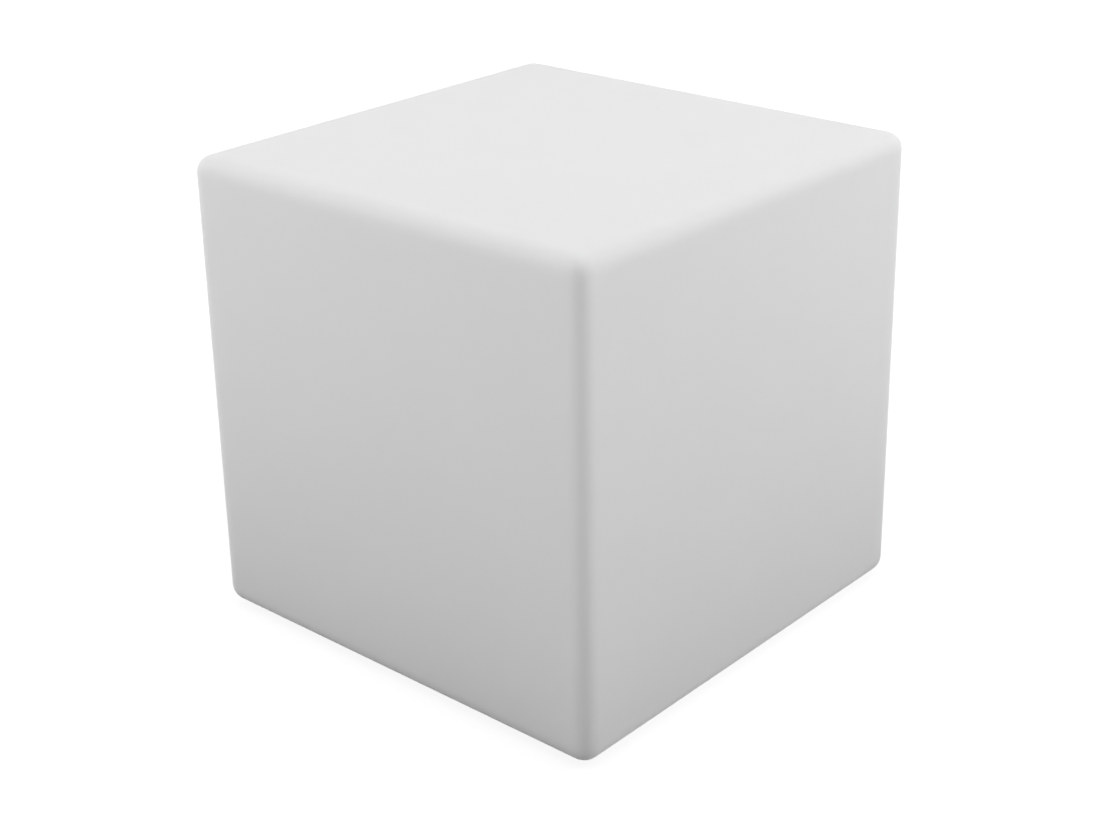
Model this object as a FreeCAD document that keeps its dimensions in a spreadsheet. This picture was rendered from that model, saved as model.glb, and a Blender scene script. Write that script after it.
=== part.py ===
"""Rechargeable LED cube light.

A one-piece rotomoulded polyethylene cube stands on four rubber feet. A round light module is
screwed up into a pocket in its underside. The module holds the cells, the boards, the push button
and the charging socket, and its frosted dome lights the hollow cube from below.

All sizes are millimetres. The origin is the middle of the footprint on the floor and +Z is up.
The faces towards -Y and +X are the two upright faces that the photograph shows.
"""

import FreeCAD, Part
import math
import os
import re
import Sketcher
from FreeCAD import Placement, Rotation, Vector

SIZES = {
    # shell
    "base_width": 402.0,
    "top_width": 398.0,
    "shell_height": 390.0,
    "edge_radius": 13.5,
    "wall": 3.5,
    "foot_stand": 4.0,
    # pocket in the shell's underside
    "pocket_mouth_radius": 96.0,
    "pocket_radius": 92.0,
    "pocket_depth": 24.0,
    "pocket_lip_radius": 4.0,
    "opening_radius": 66.0,
    # feet, under the corners
    "foot_offset": 150.0,
    "foot_recess_depth": 4.0,
    "foot_recess_radius": 17.5,
    "foot_top_radius": 17.0,
    "foot_tread_radius": 15.0,
    "foot_bore_radius": 7.0,
    "foot_bore_depth": 5.0,
    "foot_edge_radius": 1.0,
    "foot_screw_length": 12.0,
    "washer_radius": 6.5,
    "washer_thick": 1.0,
    # threaded inserts and M4 screws
    "insert_radius": 4.0,
    "insert_waist_radius": 3.5,
    "insert_length": 9.0,
    "insert_bore_radius": 2.05,
    "large_shank_radius": 2.0,
    "large_head_radius": 3.8,
    "large_head_height": 2.2,
    "shank_clearance": 0.2,
    # small M3 screws into moulded posts
    "small_shank_radius": 1.25,
    "small_pilot_radius": 1.3,
    "small_pilot_depth": 10.0,
    "small_clear_radius": 1.7,
    "small_head_radius": 2.7,
    "small_head_height": 1.8,
    # light module, measured up from its lower face
    "flange_radius": 88.0,
    "flange_thick": 4.0,
    "lip_height": 2.5,
    "lip_width": 3.0,
    "lip_draft": 0.4,
    "screw_circle_radius": 80.0,
    "counterbore_radius": 4.4,
    "counterbore_depth": 2.4,
    "flange_screw_length": 10.0,
    "panel_thick": 2.5,
    "drum_radius": 62.0,
    "drum_wall": 2.5,
    "drum_height": 46.0,
    "rim_width": 4.5,
    "rim_height": 4.0,
    "gasket_inner_radius": 68.0,
    "gasket_outer_radius": 73.0,
    "gasket_groove_depth": 2.0,
    "rib_thick": 2.0,
    "rib_drop": 2.0,
    # dome over the light-emitting diodes
    "dome_flange_thick": 2.5,
    "dome_radius": 52.0,
    "dome_skirt_height": 8.0,
    "dome_rise": 20.0,
    "dome_wall": 2.0,
    "dome_screw_circle": 55.2,
    "dome_screw_length": 10.0,
    "dome_post_radius": 4.0,
    "seal_inner_radius": 59.3,
    "seal_outer_radius": 60.9,
    "seal_height": 1.2,
    # boards and what they carry
    "board_thick": 1.6,
    "board_corner_radius": 2.0,
    "board_screw_length": 8.0,
    "led_board_radius": 49.0,
    "led_board_height": 42.0,
    "led_post_radius": 3.5,
    "led_post_offset": 30.4,
    "led_side": 5.0,
    "led_height": 1.6,
    "led_window_radius": 1.9,
    "led_window_depth": 0.4,
    "led_outer_circle": 34.0,
    "led_inner_circle": 17.0,
    "control_board_length": 82.0,
    "control_board_width": 40.0,
    "control_board_height": 26.0,
    "control_board_shift": 5.0,
    "control_post_x": 37.0,
    "control_post_y": 16.0,
    "control_post_radius": 3.0,
    "receiver_width": 7.0,
    "receiver_depth": 5.4,
    "receiver_height": 7.0,
    "receiver_corner_radius": 0.8,
    "receiver_eye_radius": 2.4,
    "receiver_eye_height": 4.0,
    "receiver_eye_bulge": 1.6,
    "inductor_x": 10.0,
    "inductor_y": -1.0,
    "inductor_side": 8.0,
    "inductor_height": 4.0,
    "inductor_corner_radius": 1.6,
    "inductor_edge_radius": 0.6,
    "capacitor_radius": 3.2,
    "capacitor_height": 8.5,
    "capacitor_edge_radius": 0.5,
    "capacitor_middle_x": -9.0,
    "capacitor_pitch": 10.0,
    "capacitor_y": -9.0,
    "plug_depth": 7.5,
    "plug_width": 8.0,
    "plug_height": 6.0,
    "header_x": -33.0,
    "header_width": 2.5,
    "header_length": 12.7,
    # lithium cells
    "cell_radius": 9.2,
    "cell_length": 65.0,
    "cell_edge_radius": 1.0,
    "cell_neck_radius": 6.6,
    "cell_neck_height": 1.6,
    "cell_button_radius": 3.0,
    "cell_button_height": 0.4,
    "cell_spacing": 19.0,
    "cell_height": 13.2,
    "cell_shift": 5.0,
    "cell_clearance": 0.2,
    "tab_thick": 0.3,
    "tab_width": 8.0,
    "tab_overhang": 3.0,
    "pad_thick": 1.5,
    "pad_width": 34.0,
    "pad_margin": 0.5,
    "cradle_height": 9.0,
    "cradle_width": 42.0,
    "cradle_thick": 2.5,
    "cradle_pitch": 24.0,
    "bracket_thick": 1.6,
    "bracket_width": 16.0,
    "bracket_post_height": 12.0,
    "bracket_post_offset": 24.5,
    "bracket_post_radius": 3.5,
    "bracket_pilot_depth": 7.0,
    "bracket_screw_length": 6.0,
    # push button
    "button_x": -15.0,
    "controls_y": -35.0,
    "button_flange_radius": 10.0,
    "button_bevel": 0.8,
    "button_barrel_radius": 8.0,
    "button_body_length": 18.0,
    "button_contact_length": 5.0,
    "button_chamber_radius": 7.0,
    "button_chamber_floor": 1.0,
    "button_radius": 6.0,
    "button_running_gap": 0.15,
    "button_proud": 2.5,
    "button_edge_radius": 0.8,
    "button_dish_radius": 4.4,
    "button_dish_depth": 0.3,
    "button_collar_radius": 6.8,
    "button_collar_gap": 0.05,
    "button_collar_top": 2.5,
    "button_stem_top": 5.5,
    "button_hole_radius": 8.1,
    "button_nut_flats": 19.0,
    "spring_radius": 5.0,
    "spring_wire_radius": 0.35,
    "spring_end_gap": 0.1,
    "spring_active_turns": 3,
    # charging socket and its rubber cap
    "socket_x": 15.0,
    "fitting_flange_thick": 2.0,
    "fitting_nut_thick": 3.0,
    "fitting_seal_thick": 0.8,
    "fitting_seal_inset": 0.4,
    "tag_thick": 0.6,
    "tag_width": 2.4,
    "tag_height": 4.0,
    "socket_flange_radius": 7.5,
    "socket_bevel": 0.6,
    "socket_barrel_radius": 5.5,
    "socket_bore_radius": 2.8,
    "socket_bore_depth": 11.0,
    "socket_length": 17.0,
    "socket_hole_radius": 5.6,
    "socket_nut_flats": 14.0,
    "pin_radius": 1.05,
    "pin_shoulder_radius": 1.35,
    "pin_recess": 2.2,
    "pin_tip_radius": 0.5,
    "cap_radius": 8.5,
    "cap_thick": 2.0,
    "cap_edge_radius": 0.8,
    "cap_tab_start": 6.5,
    "cap_tab_reach": 13.0,
    "cap_tab_thick": 1.5,
    "cap_tongue_reach": -9.2,
    "cap_tongue_root": -7.1,
    "cap_tongue_thick": 1.2,
    "bung_radius": 2.5,
    "bung_tip_radius": 2.0,
    "bung_height": 1.8,
    "cap_hinge_y": -10.0,
    "cap_web_y": -8.1,
    "cap_anchor_y": -14.5,
    "strap_width": 6.0,
    "strap_thick": 1.0,
    "anchor_stem_radius": 1.6,
    "anchor_hole_radius": 1.7,
    "anchor_pad_radius": 3.5,
    "anchor_barb_radius": 2.4,
    "anchor_tip_radius": 1.0,
    "anchor_barb_height": 2.4,
    "guide_x": 1.0,
    "guide_radius": 2.0,
    "guide_hole_radius": 2.05,
    "guide_head_radius": 2.8,
    "guide_head_height": 0.8,
    "guide_eye_height": 1.4,
    "guide_edge_radius": 0.5,
    "guide_gap": 0.3,
    "status_led_length": 3.0,
    "status_led_width": 1.4,
    "status_led_height": 2.8,
    # leads inside the module
    "lead_radius": 0.8,
    "lead_gap": 3.0,
    "battery_lead_reach": 14.0,
}

doc = FreeCAD.newDocument("LedCubeLight")
sheet = doc.addObject("Spreadsheet::Sheet", "Sizes")
for row, (alias, size) in enumerate(SIZES.items(), start=1):
    sheet.set(f"A{row}", alias)
    sheet.set(f"B{row}", str(size))
    sheet.setAlias(f"B{row}", alias)
doc.recompute()

POCKET_CEILING = "foot_stand + pocket_depth"
MODULE_LEVEL = "foot_stand + pocket_depth - flange_thick"
LED_FACE = "led_board_height + board_thick"
CONTROL_FACE = "control_board_height + board_thick"


# ---------------------------------------------------------------- the sheet and its expressions


def bound(expression):
    """An expression in the sheet's aliases, as the document reads it."""
    return re.sub(
        r"[a-z]\w*",
        lambda word: f"Sizes.{word[0]}" if word[0] in SIZES else word[0],
        str(expression),
    )


def number(expression):
    """The value of an expression in the sheet's aliases."""
    value = sheet.evalExpression(bound(expression))
    return float(getattr(value, "Value", value))


def place(item, x="0", y="0", z="0"):
    """Puts a sub-part where three expressions say, and keeps it there if the sizes change."""
    for axis, expression in zip("xyz", (x, y, z)):
        item.setExpression(f"Placement.Base.{axis}", bound(expression))


# ---------------------------------------------------------------- sketches


class Outline:
    """A sketch on one of a body's own planes. Expressions hold every point and radius in it."""

    def __init__(self, body, plane, lift="0", shift="0", rise="0"):
        self.sketch = body.newObject("Sketcher::SketchObject", "Outline")
        features = body.Origin.OriginFeatures
        support = next(feature for feature in features if feature.Role == plane)
        self.sketch.AttachmentSupport = (support, [""])
        self.sketch.MapMode = "FlatFace"
        for axis, expression in zip("xyz", (shift, rise, lift)):
            self.sketch.setExpression(f"AttachmentOffset.Base.{axis}", bound(expression))

    def bind(self, kind, *references, to):
        """Adds a dimension and ties it to an expression."""
        constraint = Sketcher.Constraint(kind, *references, number(to))
        index = self.sketch.addConstraint(constraint)
        self.sketch.setExpression(f"Constraints[{index}]", bound(to))

    def hold(self, curve, end, x, y):
        """Fixes one end or centre of a curve at (x, y)."""
        for kind, expression, axis in (("DistanceX", x, -2), ("DistanceY", y, -1)):
            if str(expression) == "0":
                self.sketch.addConstraint(Sketcher.Constraint("PointOnObject", curve, end, axis))
            else:
                self.bind(kind, -1, 1, curve, end, to=expression)

    def polygon(self, *points):
        """A closed outline. A point (x, y, radius) starts an arc, which bulges left if radius > 0."""
        spots = [Vector(number(point[0]), number(point[1]), 0) for point in points]
        first = self.sketch.GeometryCount
        for index, point in enumerate(points):
            start = spots[index]
            finish = spots[(index + 1) % len(spots)]
            if len(point) == 3:
                self.sketch.addGeometry(arc_between(start, finish, number(point[2])))
            else:
                self.sketch.addGeometry(Part.LineSegment(start, finish))
        for index, point in enumerate(points):
            after = first + (index + 1) % len(points)
            curve = first + index
            clockwise = len(point) == 3 and number(point[2]) > 0
            following = points[(index + 1) % len(points)]
            enters_arc = len(following) == 3 and number(following[2]) > 0
            tail = 1 if clockwise else 2
            head = 2 if enters_arc else 1
            self.sketch.addConstraint(Sketcher.Constraint("Coincident", curve, tail, after, head))
            self.hold(curve, 2 if clockwise else 1, point[0], point[1])
            if len(point) == 3:
                self.bind("Radius", curve, to=f"abs({point[2]})")
        return self

    def rectangle(self, width, height, x="0", y="0"):
        """A rectangle about the point (x, y)."""
        left, right = f"{x} - ({width}) / 2", f"{x} + ({width}) / 2"
        low, high = f"{y} - ({height}) / 2", f"{y} + ({height}) / 2"
        return self.polygon((left, low), (right, low), (right, high), (left, high))

    def circle(self, radius, x="0", y="0"):
        """A circle about the point (x, y)."""
        middle = Vector(number(x), number(y), 0)
        curve = self.sketch.addGeometry(Part.Circle(middle, Vector(0, 0, 1), number(radius)))
        self.bind("Radius", curve, to=radius)
        self.hold(curve, 3, x, y)
        return self

    def circles(self, radius, spots):
        """The same circle at each spot."""
        for x, y in spots:
            self.circle(radius, x, y)
        return self

    def hexagon(self, flats):
        """A regular hexagon about the origin, measured across its flats."""
        corner = f"({flats}) / 2 / cos(30 deg)"
        across = [f"{corner} * sin({60 * k} deg)" if k % 3 else "0" for k in range(6)]
        along = [f"{corner} * cos({60 * k} deg)" for k in range(6)]
        return self.polygon(*zip(along, across))


def arc_between(start, finish, radius):
    """The short arc from start to finish. It bulges to the left of the way there if radius > 0."""
    chord = finish - start
    left = Vector(-chord.y, chord.x, 0).normalize()
    half = chord.Length / 2
    sagitta = abs(radius) - math.sqrt(radius**2 - half**2)
    crown = start + chord * 0.5 + left * math.copysign(sagitta, radius)
    return Part.Arc(start, crown, finish)


def ring_of_spots(radius, count, first_angle=0):
    """Expressions for points evenly spaced on a circle."""
    angles = [first_angle + 360 * k / count for k in range(count)]
    return [(f"{radius} * cos({a} deg)", f"{radius} * sin({a} deg)") for a in angles]


def four_spots(x, y, middle_y="0"):
    """Expressions for the corners of a rectangle 2 x by 2 y."""
    return [(f"{i} * ({x})", f"{middle_y} + {j} * ({y})") for i in (-1, 1) for j in (-1, 1)]


FOOT_SPOTS = four_spots("foot_offset", "foot_offset")
FLANGE_SPOTS = ring_of_spots("screw_circle_radius", 6)


# ---------------------------------------------------------------- features


def new_body(label):
    """A body for one sub-part. It may hold several loose solids, as a set of screws does."""
    body = doc.addObject("PartDesign::Body", label)
    body.Label = label
    body.AllowCompound = True
    return body


def finish_feature(body, feature, outline=None):
    """Recomputes, and stops if the feature failed."""
    if outline is not None:
        outline.sketch.Visibility = False
    body.Tip = feature
    doc.recompute()
    if {"Invalid", "Error"} & set(feature.State):
        raise RuntimeError(f"{body.Label}: {feature.Name} failed")
    return feature


def check_volume(body, feature, before, grows):
    """Stops if a feature that should add or cut has done neither."""
    change = feature.Shape.Volume - before
    if (change if grows else -change) < 1e-3:
        raise RuntimeError(f"{body.Label}: {feature.Name} changes the volume by {change:.3f}")


def volume_of(body):
    """The body's volume so far."""
    return body.Tip.Shape.Volume if body.Tip else 0.0


def extrude(body, kind, outline, length, flip, both_ways):
    """A Pad or Pocket of an outline."""
    before = volume_of(body)
    feature = body.newObject(f"PartDesign::{kind}", kind)
    feature.Profile = outline.sketch
    feature.setExpression("Length", bound(length))
    feature.Reversed = flip
    if both_ways:
        feature.SideType = "Symmetric"
    finish_feature(body, feature, outline)
    check_volume(body, feature, before, kind == "Pad")
    return feature


def pad(body, outline, length, flip=False, both_ways=False):
    """Adds material along the outline's normal, or against it if flipped."""
    return extrude(body, "Pad", outline, length, flip, both_ways)


def pocket(body, outline, length, flip=False, both_ways=False):
    """Cuts against the outline's normal, or along it if flipped."""
    return extrude(body, "Pocket", outline, length, flip, both_ways)


def turn(body, outline, cut=False):
    """Adds or cuts a full revolution about the outline's own vertical axis."""
    before = volume_of(body)
    kind = "Groove" if cut else "Revolution"
    feature = body.newObject(f"PartDesign::{kind}", kind)
    feature.Profile = outline.sketch
    feature.ReferenceAxis = (outline.sketch, ["V_Axis"])
    feature.Angle = 360
    finish_feature(body, feature, outline)
    check_volume(body, feature, before, not cut)
    return feature


def repeat_round(body, originals, count):
    """Repeats features about the body's Z axis."""
    axis = next(f for f in body.Origin.OriginFeatures if f.Role == "Z_Axis")
    pattern = body.newObject("PartDesign::PolarPattern", "PolarPattern")
    pattern.Originals = originals
    pattern.Axis = (axis, [""])
    pattern.Angle = 360
    pattern.Occurrences = count
    return finish_feature(body, pattern)


def repeat_along(body, originals, role, length, count):
    """Repeats features along one of the body's axes, over a length."""
    axis = next(f for f in body.Origin.OriginFeatures if f.Role == role)
    pattern = body.newObject("PartDesign::LinearPattern", "LinearPattern")
    pattern.Originals = originals
    pattern.Direction = (axis, [""])
    pattern.setExpression("Length", bound(length))
    pattern.Occurrences = count
    return finish_feature(body, pattern)


def dress(body, kind, edges, size):
    """A Fillet or Chamfer on named edges of the tip."""
    if not edges:
        raise RuntimeError(f"{body.Label}: no edge to dress")
    base = body.Tip
    feature = body.newObject(f"PartDesign::{kind}", kind)
    feature.Base = (base, edges)
    feature.setExpression("Radius" if kind == "Fillet" else "Size", bound(size))
    return finish_feature(body, feature)


def round_edges(body, edges, radius):
    """Rounds named edges."""
    return dress(body, "Fillet", edges, radius)


def bevel_edges(body, edges, size):
    """Bevels named edges."""
    return dress(body, "Chamfer", edges, size)


def edges_where(body, test):
    """Names of the tip's edges that pass a test. An edge shrunk to a point passes none."""
    edges = enumerate(body.Tip.Shape.Edges, start=1)
    return [f"Edge{index}" for index, edge in edges if not edge.Degenerated and test(edge)]


def circle_edges(body, radius, height):
    """Names of the level circular edges of a radius at a height."""
    wanted_radius, wanted_height = number(radius), number(height)

    def matches(edge):
        curve = edge.Curve
        return (
            isinstance(curve, Part.Circle)
            and abs(curve.Radius - wanted_radius) < 1e-4
            and abs(curve.Center.z - wanted_height) < 1e-4
        )

    return edges_where(body, matches)


def level_edges(body, height):
    """Names of the edges that lie wholly at a height."""
    level = number(height)
    return edges_where(
        body,
        lambda edge: abs(edge.BoundBox.ZMin - level) < 1e-4 and abs(edge.BoundBox.ZMax - level) < 1e-4,
    )


def upright_edges(body):
    """Names of the straight edges that run along Z."""

    def matches(edge):
        spread = edge.BoundBox.XLength + edge.BoundBox.YLength
        return isinstance(edge.Curve, Part.Line) and spread < 1e-4

    return edges_where(body, matches)


# ---------------------------------------------------------------- shell


def drafted_block(body, base_width, top_width, height, lift, edge_radius):
    """A square block whose sides lean in towards its top, with every edge rounded."""
    block = pad(body, Outline(body, "XY_Plane", lift=lift).rectangle(base_width, base_width), height)
    faces = enumerate(block.Shape.Faces, start=1)
    normals = {f"Face{index}": face.normalAt(0, 0) for index, face in faces}
    draft = body.newObject("PartDesign::Draft", "Draft")
    draft.Base = (block, [name for name, normal in normals.items() if abs(normal.z) < 0.5])
    draft.NeutralPlane = (block, [name for name, normal in normals.items() if normal.z < -0.5])
    draft.setExpression("Angle", bound(f"atan(({base_width} - ({top_width})) / 2 / ({height}))"))
    finish_feature(body, draft)
    if draft.Shape.Volume > block.Shape.Volume:
        draft.Reversed = True
        doc.recompute()
    rounded = body.newObject("PartDesign::Fillet", "Fillet")
    rounded.Base = (draft, [""])
    rounded.UseAllEdges = True
    rounded.setExpression("Radius", bound(edge_radius))
    return finish_feature(body, rounded)


def shell_cavity():
    """The hollow of the cube, less the walls of the pocket, the feet and the insert bosses."""
    body = new_body("shell_cavity")
    floor = "foot_stand + wall"
    drafted_block(
        body,
        "base_width - 2 * wall",
        "top_width - 2 * wall",
        "shell_height - 2 * wall",
        floor,
        "edge_radius - wall",
    )
    cup = Outline(body, "XZ_Plane").polygon(
        ("0", "foot_stand"),
        ("pocket_mouth_radius + wall", "foot_stand"),
        ("pocket_radius + wall", f"{POCKET_CEILING} + wall"),
        ("0", f"{POCKET_CEILING} + wall"),
    )
    turn(body, cup, cut=True)
    rim = circle_edges(body, "pocket_radius + wall", f"{POCKET_CEILING} + wall")
    round_edges(body, rim, "pocket_lip_radius")
    boss_radius = "insert_radius + wall"
    module_boss = Outline(body, "XY_Plane", lift=POCKET_CEILING).circle(boss_radius, "screw_circle_radius")
    cut = pocket(body, module_boss, "insert_length + wall", flip=True)
    repeat_round(body, [cut], 6)
    foot = ("foot_offset", "foot_offset")
    foot_wall = Outline(body, "XY_Plane", lift="foot_stand").circle("foot_recess_radius + wall", *foot)
    foot_boss = Outline(body, "XY_Plane", lift="foot_stand").circle(boss_radius, *foot)
    cuts = [
        pocket(body, foot_wall, "foot_recess_depth + wall", flip=True),
        pocket(body, foot_boss, "foot_recess_depth + insert_length + wall", flip=True),
    ]
    repeat_round(body, cuts, 4)
    return body


def make_shell():
    """The rotomoulded cube: one skin all round, folded in under the base for the module and the feet."""
    body = new_body("cube_shell")
    drafted_block(body, "base_width", "top_width", "shell_height", "foot_stand", "edge_radius")
    well = Outline(body, "XZ_Plane").polygon(
        ("0", "0"),
        ("pocket_mouth_radius", "0"),
        ("pocket_mouth_radius", "foot_stand"),
        ("pocket_radius", POCKET_CEILING),
        ("opening_radius", POCKET_CEILING),
        ("opening_radius", f"{POCKET_CEILING} + 2 * wall"),
        ("0", f"{POCKET_CEILING} + 2 * wall"),
    )
    turn(body, well, cut=True)
    round_edges(body, circle_edges(body, "pocket_mouth_radius", "foot_stand"), "pocket_lip_radius")
    round_edges(body, circle_edges(body, "pocket_radius", POCKET_CEILING), "pocket_lip_radius / 2")
    socket = Outline(body, "XY_Plane", lift=POCKET_CEILING).circle("insert_radius", "screw_circle_radius")
    cut = pocket(body, socket, "insert_length", flip=True)
    repeat_round(body, [cut], 6)
    foot = ("foot_offset", "foot_offset")
    recess = Outline(body, "XY_Plane", lift="foot_stand").circle("foot_recess_radius", *foot)
    socket = Outline(body, "XY_Plane", lift="foot_stand").circle("insert_radius", *foot)
    cuts = [
        pocket(body, recess, "foot_recess_depth", flip=True),
        pocket(body, socket, "foot_recess_depth + insert_length", flip=True),
    ]
    repeat_round(body, cuts, 4)
    hollow = body.newObject("PartDesign::Boolean", "Hollow")
    hollow.Type = "Cut"
    hollow.addObjects([shell_cavity()])
    finish_feature(body, hollow)
    return body


def make_inserts(label, spots, level):
    """Brass inserts with a waist that keys them into the moulding."""
    body = new_body(label)
    third = "insert_length / 3"
    for step, radius in enumerate(("insert_radius", "insert_waist_radius", "insert_radius")):
        outline = Outline(body, "XY_Plane", lift=f"{step} * {third}")
        for x, y in spots:
            outline.circle(radius, x, y)
            outline.circle("insert_bore_radius", x, y)
        pad(body, outline, third)
    place(body, z=level)
    return body


def make_foot(label, x_side, y_side):
    """A rubber foot with a counterbore for its washer and screw."""
    body = new_body(label)
    height = "foot_stand + foot_recess_depth"
    outline = Outline(body, "XZ_Plane").polygon(
        ("foot_bore_radius", "0"),
        ("foot_tread_radius", "0"),
        ("foot_top_radius", "foot_stand"),
        ("foot_top_radius", height),
        ("large_shank_radius + shank_clearance", height),
        ("large_shank_radius + shank_clearance", "foot_bore_depth"),
        ("foot_bore_radius", "foot_bore_depth"),
    )
    turn(body, outline)
    round_edges(body, circle_edges(body, "foot_tread_radius", "0"), "foot_edge_radius")
    place(body, f"{x_side} * foot_offset", f"{y_side} * foot_offset")
    return body


def make_washers():
    """Steel washers inside the feet."""
    body = new_body("foot_washers")
    outline = Outline(body, "XY_Plane")
    for x, y in FOOT_SPOTS:
        outline.circle("washer_radius", x, y)
        outline.circle("large_shank_radius + shank_clearance", x, y)
    pad(body, outline, "washer_thick")
    place(body, z="foot_bore_depth - washer_thick")
    return body


def make_screws(label, spots, sizes, length, points_up=False):
    """Pan-head screws. The body's origin is the level on which the heads bear."""
    body = new_body(label)
    heads = pad(
        body,
        Outline(body, "XY_Plane").circles(f"{sizes}_head_radius", spots),
        f"{sizes}_head_height",
        flip=points_up,
    )
    crown = number(f"{sizes}_head_height") * (-1 if points_up else 1)
    round_edges(body, circle_edges(body, f"{sizes}_head_radius", crown), f"{sizes}_head_height * 0.45")
    pad(body, Outline(body, "XY_Plane").circles(f"{sizes}_shank_radius", spots), length, flip=not points_up)
    return body


# ---------------------------------------------------------------- light module: housing and dome


def make_module_base():
    """The moulded housing: flange, drum, cradle ribs and screw posts in one piece."""
    body = new_body("module_base")
    inner = "drum_radius - drum_wall"
    rim_inner = "drum_radius - rim_width"
    groove_floor = f"drum_height - seal_height"
    profile = Outline(body, "XZ_Plane").polygon(
        ("0", "0"),
        ("flange_radius - lip_width", "0"),
        ("flange_radius - lip_width + lip_draft", "-lip_height"),
        ("flange_radius", "-lip_height"),
        ("flange_radius", "flange_thick"),
        ("gasket_outer_radius", "flange_thick"),
        ("gasket_outer_radius", "flange_thick - gasket_groove_depth"),
        ("gasket_inner_radius", "flange_thick - gasket_groove_depth"),
        ("gasket_inner_radius", "flange_thick"),
        ("drum_radius", "flange_thick"),
        ("drum_radius", "drum_height"),
        ("seal_outer_radius", "drum_height"),
        ("seal_outer_radius", groove_floor),
        ("seal_inner_radius", groove_floor),
        ("seal_inner_radius", "drum_height"),
        (rim_inner, "drum_height"),
        (rim_inner, f"drum_height - rim_height"),
        (inner, f"drum_height - rim_height - drum_wall"),
        (inner, "panel_thick"),
        ("0", "panel_thick"),
    )
    turn(body, profile)
    round_edges(body, circle_edges(body, "drum_radius", "flange_thick"), "drum_wall")
    round_edges(body, circle_edges(body, "flange_radius", "-lip_height"), "lip_width / 4")
    add_posts(body)
    add_cradle(body)
    cut_pilot_holes(body)
    cut_flange(body)
    cut_control_holes(body)
    place(body, z=MODULE_LEVEL)
    return body


LED_POSTS = four_spots("led_post_offset", "led_post_offset")
DOME_POSTS = ring_of_spots("dome_screw_circle", 4)
CONTROL_POSTS = four_spots("control_post_x", "control_post_y", "control_board_shift")
BRACKET_POSTS = [("0", f"cell_shift + {side} * bracket_post_offset") for side in (-1, 1)]


def add_posts(body):
    """Screw posts for the boards, the dome and the cell bracket."""
    for spots, radius, top in (
        (LED_POSTS, "led_post_radius", "led_board_height"),
        (DOME_POSTS, "dome_post_radius", "drum_height"),
        (CONTROL_POSTS, "control_post_radius", "control_board_height"),
        (BRACKET_POSTS, "bracket_post_radius", "bracket_post_height"),
    ):
        outline = Outline(body, "XY_Plane", lift="panel_thick").circles(radius, spots)
        pad(body, outline, f"{top} - panel_thick")


def add_cradle(body):
    """Three ribs across the panel, scooped out to take the two cells."""
    middle = "(panel_thick + cradle_height) / 2"
    rib = Outline(body, "YZ_Plane", lift="-cradle_pitch").rectangle(
        "cradle_width", "cradle_height - panel_thick", "cell_shift", middle
    )
    ribs = pad(body, rib, "cradle_thick", both_ways=True)
    repeat_along(body, [ribs], "X_Axis", "2 * cradle_pitch", 3)
    beds = [(f"cell_shift + {side} * cell_spacing / 2", "cell_height") for side in (-1, 1)]
    scoop = Outline(body, "YZ_Plane").circles("cell_radius + cell_clearance", beds)
    pocket(body, scoop, "cell_length", both_ways=True)


def cut_pilot_holes(body):
    """Pilot holes down the screw posts."""
    for spots, top, depth in (
        (LED_POSTS, "led_board_height", "small_pilot_depth"),
        (DOME_POSTS, "drum_height", "small_pilot_depth"),
        (CONTROL_POSTS, "control_board_height", "small_pilot_depth"),
        (BRACKET_POSTS, "bracket_post_height", "bracket_pilot_depth"),
    ):
        outline = Outline(body, "XY_Plane", lift=top).circles("small_pilot_radius", spots)
        pocket(body, outline, depth)


def cut_flange(body):
    """Six counterbored screw holes and the stiffening ribs between them."""
    hole = Outline(body, "XZ_Plane", shift="screw_circle_radius").polygon(
        ("0", "-lip_height"),
        ("counterbore_radius", "-lip_height"),
        ("counterbore_radius", "counterbore_depth"),
        ("large_shank_radius + shank_clearance", "counterbore_depth"),
        ("large_shank_radius + shank_clearance", "flange_thick + 1"),
        ("0", "flange_thick + 1"),
    )
    repeat_round(body, [turn(body, hole, cut=True)], 6)
    rib_end = "flange_radius - lip_width / 2"
    rib = Outline(body, "XY_Plane").rectangle(
        "rib_thick", f"{rib_end} - drum_radius", "0", f"({rib_end} + drum_radius) / 2"
    )
    repeat_round(body, [pad(body, rib, "rib_drop", flip=True)], 6)


def cut_control_holes(body):
    """Holes in the panel for the button, the socket, the indicator and the cap's anchor."""
    outline = Outline(body, "XY_Plane")
    outline.circle("button_hole_radius", "button_x", "controls_y")
    outline.circle("socket_hole_radius", "socket_x", "controls_y")
    outline.circle("guide_hole_radius", "guide_x", "controls_y")
    outline.circle("anchor_hole_radius", "socket_x", "controls_y + cap_anchor_y")
    pocket(body, outline, "panel_thick", flip=True)


def make_gasket():
    """The silicone ring that seals the flange against the shell."""
    body = new_body("flange_gasket")
    outline = Outline(body, "XY_Plane").circle("gasket_outer_radius").circle("gasket_inner_radius")
    pad(body, outline, "gasket_groove_depth")
    place(body, z=f"{POCKET_CEILING} - gasket_groove_depth")
    return body


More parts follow.
